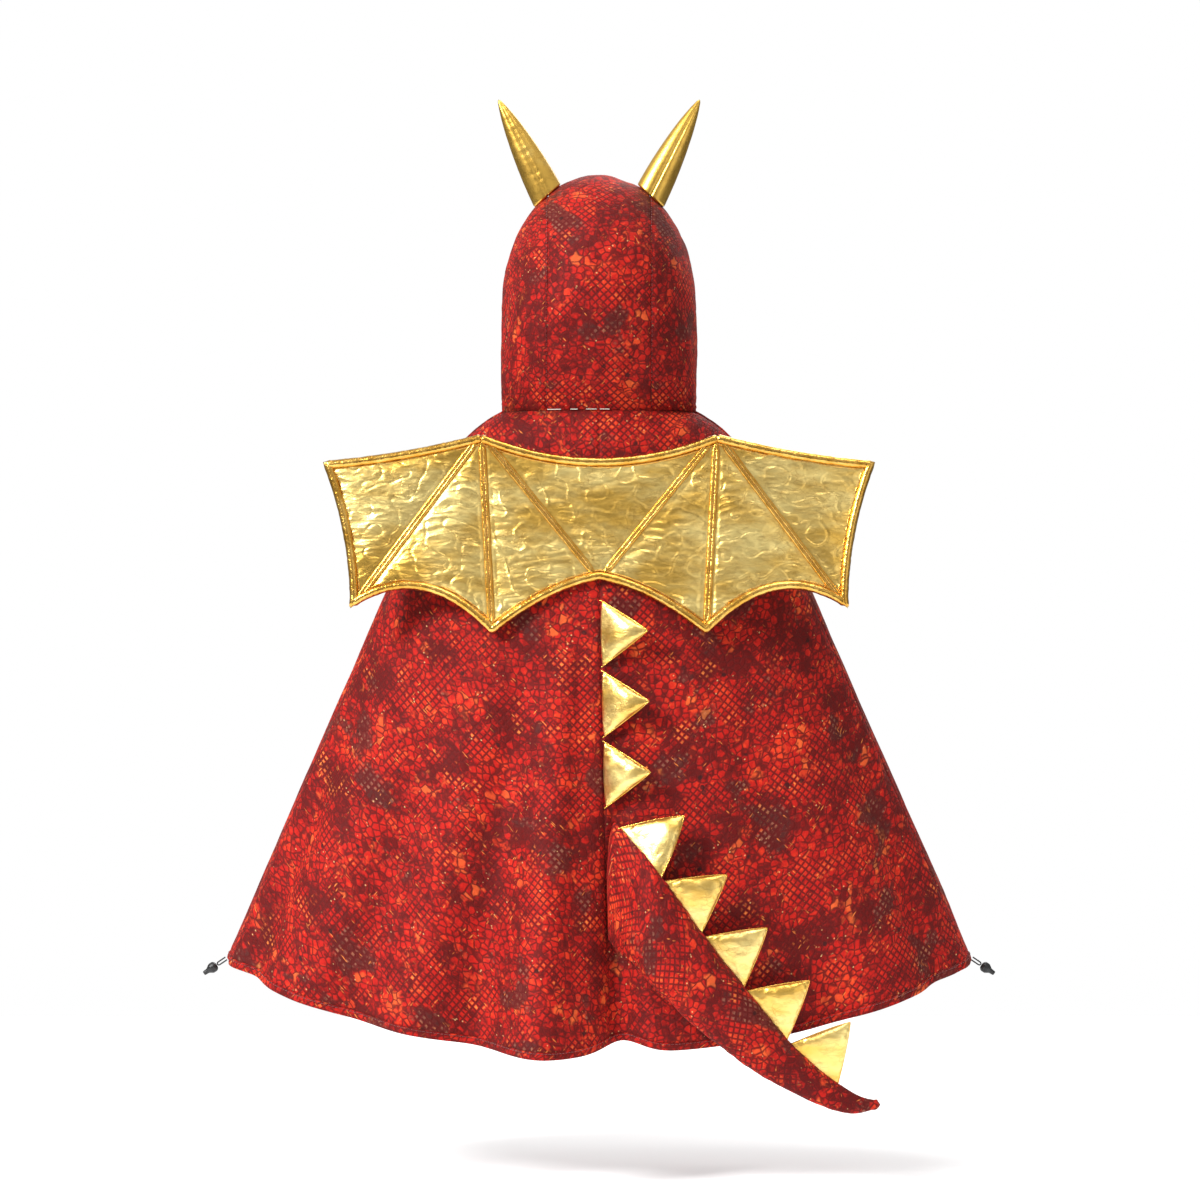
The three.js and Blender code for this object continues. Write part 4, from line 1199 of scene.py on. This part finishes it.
def makeSpike(name, start, end, outward, seed, seat=None):
    # seat(share) moves the sewn base from its straight line onto what it is sewn to
    s = spike
    up = (start - end).normalized()
    side = (outward - up * outward.dot(up)).normalized()
    flat = up.cross(side)
    middle = (start + end) / 2
    base = (start - end).length

    def at(u, v):
        t = denseEnds(v, 0.3)
        half = max(base / 2 * (1 - t) ** 0.93, 0.0)
        thick = lerp(s["edge"], s["puff"], math.sin(math.pi * 0.86 * t)) * (1 - t ** 6)
        if v < 0.001:
            thick = half = 0
        elif v > 0.999:
            thick = half = 0
        turn = 2 * math.pi * u
        c, w = math.cos(turn), math.sin(turn)
        c = math.copysign(abs(c) ** 0.75, c)  # the two faces meet in a crisp sewn edge
        z, y = half * c, 0.82 * thick * w
        p = middle + side * (s["reach"] * t) + flat * y + up * z
        return p + seat(0.5 - z / base) * (1 - t) ** 2 if seat else p

    def marks(p):
        q = p - middle
        x, z = q.dot(side), q.dot(up)
        half = base / 2 * max(1 - x / s["reach"], 0) ** 0.93
        return clamp(min((half - abs(z)) / 5, (x - 1) / 5), 0, 1)

    body = name
    obj = closedPiece(name, 32, 22, at, mats["foil"], body, [f"{name}_cover", f"{name}_stuffing"], marks)
    inflate(obj, 3.0, 0.06, 12, s["fill"])
    refine(obj, 1)

    def pucker(p, free):
        q = p - middle
        x, z = q.dot(side), q.dot(up)
        half = base / 2 * max(1 - x / s["reach"], 0) ** 0.93
        edge = half - abs(z)
        gather = noise.noise(Vector((z / 3.6, x / 16, seed))) * bump(x, 14) * 1.1
        rim = noise.noise(Vector((x / 3.4, z / 14, seed + 5))) * bump(edge, 6) * 0.8
        dent = noise.noise(Vector((x / 15, z / 13, seed + 9)))
        return (gather + rim + 0.9 * dent) * smooth(0, 0.5, free)

    crease(obj, pucker)
    # the turned edge shows as a narrow lip along both sides
    rim = []
    for t in range(0, 41):
        v = t / 40
        half = base / 2 * (1 - v) ** 0.93
        rim.append(middle + side * (s["reach"] * v) + up * half)
    other = [p - up * (2 * (p - middle).dot(up)) for p in rim][::-1]
    path = rim[:-1] + [middle + side * (s["reach"] + 0.8)] + other[1:]
    if seat:
        path = [p + seat(0.5 - (p - middle).dot(up) / base)
                * (1 - clamp((p - middle).dot(side) / s["reach"], 0, 1)) ** 2 for p in path]
    path = evenly(path, 1.6, 1)
    tubePiece(name + "_edge", withEnds(path, 0.8), 0.8, mats["piping"], body, 10)


def makeBackSpikes():
    b = backSpikes
    pitch = (b["last"] - b["first"] + b["gap"]) / b["count"]
    lean = math.radians(spike["standOff"])
    for i in range(b["count"]):
        top = b["first"] + i * pitch
        start, end = (seatPoint(d) for d in (top, top + pitch - b["gap"]))
        makeSpike(f"back_spike_{i + 1}", start, end, Vector((math.cos(lean), -math.sin(lean), 0)), 3 + 4 * i)
    print("back spikes made")


def plainPoint(angle, d, out):
    # the cape's surface without its small creases
    a, b = halfWidth(d), halfDepth(d)
    s, c = math.sin(math.radians(angle)), math.cos(math.radians(angle))
    grow = clamp((d - cape["foldStart"]) / (cape["backDrop"] - cape["foldStart"]), 0, 1.1) ** 1.3
    fold = grow * sum(o * bump(angle - at, half) for at, half, o in cape["folds"])
    n = Vector((s / a, -c / b)).normalized() * (out + fold)
    return Vector((a * s + n.x, -b * c + n.y, -d))


def seatPoint(d):
    return plainPoint(backSeam(d), d, spike["edge"] + 0.4)


tail = {
    "ridge": [(0, -432), (38, -470), (62, -504), (106, -566), (152, -626), (201, -686), (256, -729), (286, -740)],
    "keel": [(0, -566), (8, -577), (22, -589), (55, -625), (98, -666), (165, -715), (243, -751), (287, -748)],
    "puff": [2.6, 14, 21, 24, 22, 16, 10, 3.6],
    "fill": 4.0,
}


def spline(points, v):
    # a Catmull-Rom curve through evenly counted points
    n = len(points) - 1
    k = min(int(v * n), n - 1)
    t = v * n - k
    p1, p2 = points[k], points[k + 1]
    p0 = points[k - 1] if k else p1 * 2 - p2
    p3 = points[k + 2] if k + 2 <= n else p2 * 2 - p1
    even, odd = p0 * 2 - p1 * 5 + p2 * 4 - p3, p1 * 3 - p0 - p2 * 3 + p3
    return ((p1 * 2) + (p2 - p0) * t + even * t * t + odd * t ** 3) * 0.5


def tailSection(v):
    ridge = spline([Vector((x, 0, z)) for x, z in tail["ridge"]], v)
    keel = spline([Vector((x, 0, z)) for x, z in tail["keel"]], v)
    drop = -(ridge.z + keel.z) / 2
    shift = plainPoint(backSeam(drop), drop, 0).x + 0.4
    ridge.x += shift
    keel.x += shift
    puff = max(spline([Vector((p, 0, 0)) for p in tail["puff"]], v).x, tail["puff"][-1])

    def depth(p):
        angle = math.degrees(math.asin(clamp(p.x / halfWidth(-p.z), -1, 1)))
        return plainPoint(angle, -p.z, 0).y - puff - 0.64

    middle = (ridge + keel) / 2
    ridge.y, keel.y = depth(ridge), depth(keel)
    middle.y = min(depth(middle), (ridge.y + keel.y) / 2)
    return middle, (ridge - keel) / 2, puff


def tailPoint(v, turn, swell=1.0):
    middle, half, puff = tailSection(v)
    p = middle + half * math.cos(turn)
    p.y -= puff * swell * math.sin(turn)
    return p


def ridgeAt(distance):
    line = [tailPoint(i / 200, 0) for i in range(201)]
    flat = [spline([Vector((x, 0, z)) for x, z in tail["ridge"]], i / 200) for i in range(201)]
    run = 0.0
    for i in range(200):
        step = (flat[i + 1] - flat[i]).length
        if run + step >= distance:
            return line[i].lerp(line[i + 1], (distance - run) / step)
        run += step
    return line[-1]


def makeTail():
    sections = [tailSection(i / 110) for i in range(111)]

    def at(u, v):
        i = round(v * 110)
        middle, half, puff = sections[i]
        close = math.sqrt(clamp(v / 0.03, 0, 1)) * math.sqrt(clamp((1 - v) / 0.025, 0, 1))
        nub = 1 + 0.5 * bump(v - 0.985, 0.012)
        turn = 2 * math.pi * u
        p = middle + half * (math.cos(turn) * close * (nub if v > 0.9 else 1) * 0.985)
        p.y -= puff * close * (0.93 if v < 0.9 else 0.93 * nub) * math.sin(turn)
        return p

    rows = [(s[0], s[1]) for s in sections]

    def nearest(p):
        return min(rows[::5], key=lambda r: (r[0] - p).length_squared)

    def marks(p):
        middle, half = nearest(p)
        share = (p - middle).dot(half) / max(half.length_squared, 1e-6)
        return clamp(min((1 - abs(share)) * 6, (p.x - 14) / 14), 0, 1)

    obj = closedPiece("tail_body", 44, 110, at, mats["print"], "tail",
                      ["tail_outer_half", "tail_inner_half", "tail_stuffing"], marks)
    inflate(obj, 2.4, 0.035, 12, tail["fill"])
    refine(obj, 1)

    def pucker(p, free):
        middle, half = nearest(p)
        share = (p - middle).dot(half) / max(half.length_squared, 1e-6)
        along = Vector((half.z, 0, -half.x)).normalized().dot(p)
        ridgePull = noise.noise(Vector((along / 6.5, share * 2, 3))) * bump(share - 1, 0.45) * 1.5
        keelPull = noise.noise(Vector((along / 8, share * 2, 13))) * bump(share + 1, 0.4) * 1.0
        soft = noise.noise(Vector((p.x / 34, p.z / 26, 7))) * 1.5 + noise.noise(Vector((p.x / 12, p.z / 9, 19))) * 0.6
        size = clamp(half.length / 30, 0.15, 1)
        return (ridgePull + keelPull + soft) * size * (0.4 + 0.6 * free) - 0.6

    crease(obj, pucker)
    print("tail made")


def makeTailSpikes():
    b = tailSpikes
    pitch = (b["last"] - b["first"] + b["gap"]) / b["count"]
    for i in range(b["count"]):
        start, end = ridgeAt(b["first"] + i * pitch), ridgeAt(b["first"] + (i + 1) * pitch - b["gap"])
        outward = Vector((start.z - end.z, 0, end.x - start.x)).normalized()
        middle = ridgeAt(b["first"] + i * pitch + (pitch - b["gap"]) / 2)
        clear = 0.8 + max((middle - (start + end) / 2).dot(outward), 0)
        start, end = start + outward * clear, end + outward * clear
        line = [ridgeAt(b["first"] + i * pitch + (pitch - b["gap"]) * k / 12) + outward * b["sunk"]
                for k in range(13)]

        def seat(share, start=start, end=end, line=line):
            share = clamp(share, 0, 1)
            k = min(int(share * 12), 11)
            return line[k].lerp(line[k + 1], share * 12 - k) - start.lerp(end, share)

        makeSpike(f"tail_spike_{i + 1}", start, end, outward, 31 + 5 * i, seat)
    print("tail spikes made")


tab = {"top": 8, "height": 24, "left": 32, "right": 34, "cloth": 2}


def makeClosure():
    t = tab

    def foot(x):
        return 0.4 + 2.8 * smooth(-14, 10, x)

    def place(x, d, out):
        a = clamp(x / halfWidth(d), -1, 1)
        return Vector((x, halfDepth(d) * math.sqrt(1 - a * a) + out, -d))

    def corner(u, v):
        # the free end is cut round
        x, d = lerp(-t["left"], t["right"], u), lerp(t["top"], t["top"] + t["height"], v)
        pull = smooth(t["right"] - 9, t["right"], x)
        mid = t["top"] + t["height"] / 2
        return x, mid + (d - mid) * (1 - 0.35 * pull ** 2)

    def at(u, v):
        x, d = corner(denseEnds(u), denseEnds(v))
        edge = min(u, 1 - u, v, 1 - v)
        wave = 0.25 * noise.noise(Vector((x / 9, d / 6, 3)))
        return place(x, d, foot(x) + t["cloth"] - 0.7 * bump(edge, 0.04) + wave)

    flap = sheetPiece("throat_tab", 60, 30, at, mats["print"], "closure_tab", ["closure_tab"], "red_print", t["cloth"],
                      centre=(0, 0, -0.02))
    declareSheet(flap)
    loop = [corner(u, v) for u, v in ((0.03, 0.1), (0.9, 0.1), (0.965, 0.3), (0.965, 0.7), (0.9, 0.9), (0.03, 0.9))]
    path = evenly([place(x, d, foot(x) + t["cloth"] + 0.1) for x, d in loop], 1.0)
    stitchRow("throat_tab_stitches", path, mats["redThread"], "closure_tab", 2, 1, 0.25)
    for node, mat in (("closure_hook_pad", "hook"), ("closure_loop_pad", "loop")):
        paint(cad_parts[node], mats[mat])
    print("throat tab made")


def paint(obj, mat):
    if not obj.data.materials:
        obj.data.materials.append(mat)
    for slot in obj.material_slots:
        slot.material = mat


cordEnd = {"radius": 6, "length": 11, "neck": 2.6, "neckLength": 6, "drop": 12, "angle": 34, "cord": 1.6}


def pullPlace(side):
    a = halfWidth(600)
    turn = Matrix.Rotation(side * math.radians(90 + cordEnd["angle"]), 4, "Y")
    turn.translation = Vector((side * (a + 0.4 + foldAtSide()), 0, -600)) * mm
    return turn


def foldAtSide():
    return clamp((600 - 250) / 438, 0, 1.1) ** 1.3 * sum(o * bump(90 - at, half) for at, half, o in cape["folds"])


def makeCordPull(name, side):
    e = cordEnd
    paint(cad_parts[f"cord_{name}"], mats["cord"])
    bm = bmesh.new()
    start = e["drop"] + e["cord"] / 2 + 0.3
    wide, tall, neck = e["radius"], e["length"], e["neck"]
    top = tall + e["neckLength"]
    profile = [(0.0, 0.0), (wide * 0.55, 0.0), (wide * 0.86, tall * 0.14), (wide, tall * 0.32),
               (wide * 0.93, tall * 0.40), (wide, tall * 0.48), (wide * 0.93, tall * 0.56), (wide, tall * 0.64),
               (wide * 0.72, tall * 0.86), (neck * 1.25, tall), (neck, tall + 1.0), (neck, top - 0.8),
               (neck * 0.8, top), (0.0, top)]
    line = [bm.verts.new((r * mm, 0, (z + start) * mm)) for r, z in profile]
    edges = [bm.edges.new(pair) for pair in zip(line, line[1:])]
    bmesh.ops.spin(bm, geom=line + edges, cent=(0, 0, 0), axis=(0, 0, 1), angle=2 * math.pi, steps=28, use_merge=True)
    bmesh.ops.remove_doubles(bm, verts=bm.verts[:], dist=1e-6)
    bmesh.ops.transform(bm, matrix=pullPlace(side), verts=bm.verts[:])
    bmesh.ops.recalc_face_normals(bm, faces=bm.faces[:])
    obj = link(f"cord_pull_{name}", bm, mats["plastic"], f"pull_{name}", [f"cord_end_{name}"])
    soft = obj.modifiers.new("soft edges", "SUBSURF")
    soft.levels = soft.render_levels = 1


def layFloor():
    bm = bmesh.new()
    bmesh.ops.create_grid(bm, x_segments=2, y_segments=2, size=1.8, matrix=Matrix.Translation((0, 0, studio["floor"])))
    obj = link("floor", bm, mats["floor"], None)


makeCamera()
makeLights()
makeMaterials()
print("camera, lights and materials made")
makeCordPull("left", -1)
makeCordPull("right", 1)
print("cord pulls made")
layFloor()
makeCape()
makeHem()
makeNeckThread()
makeHood()
for name, side in (("left", -1), ("right", 1)):
    makeHorn(name, side)
print("horns made")
makeWings()
makeBackSpikes()
makeTail()
makeTailSpikes()
makeClosure()
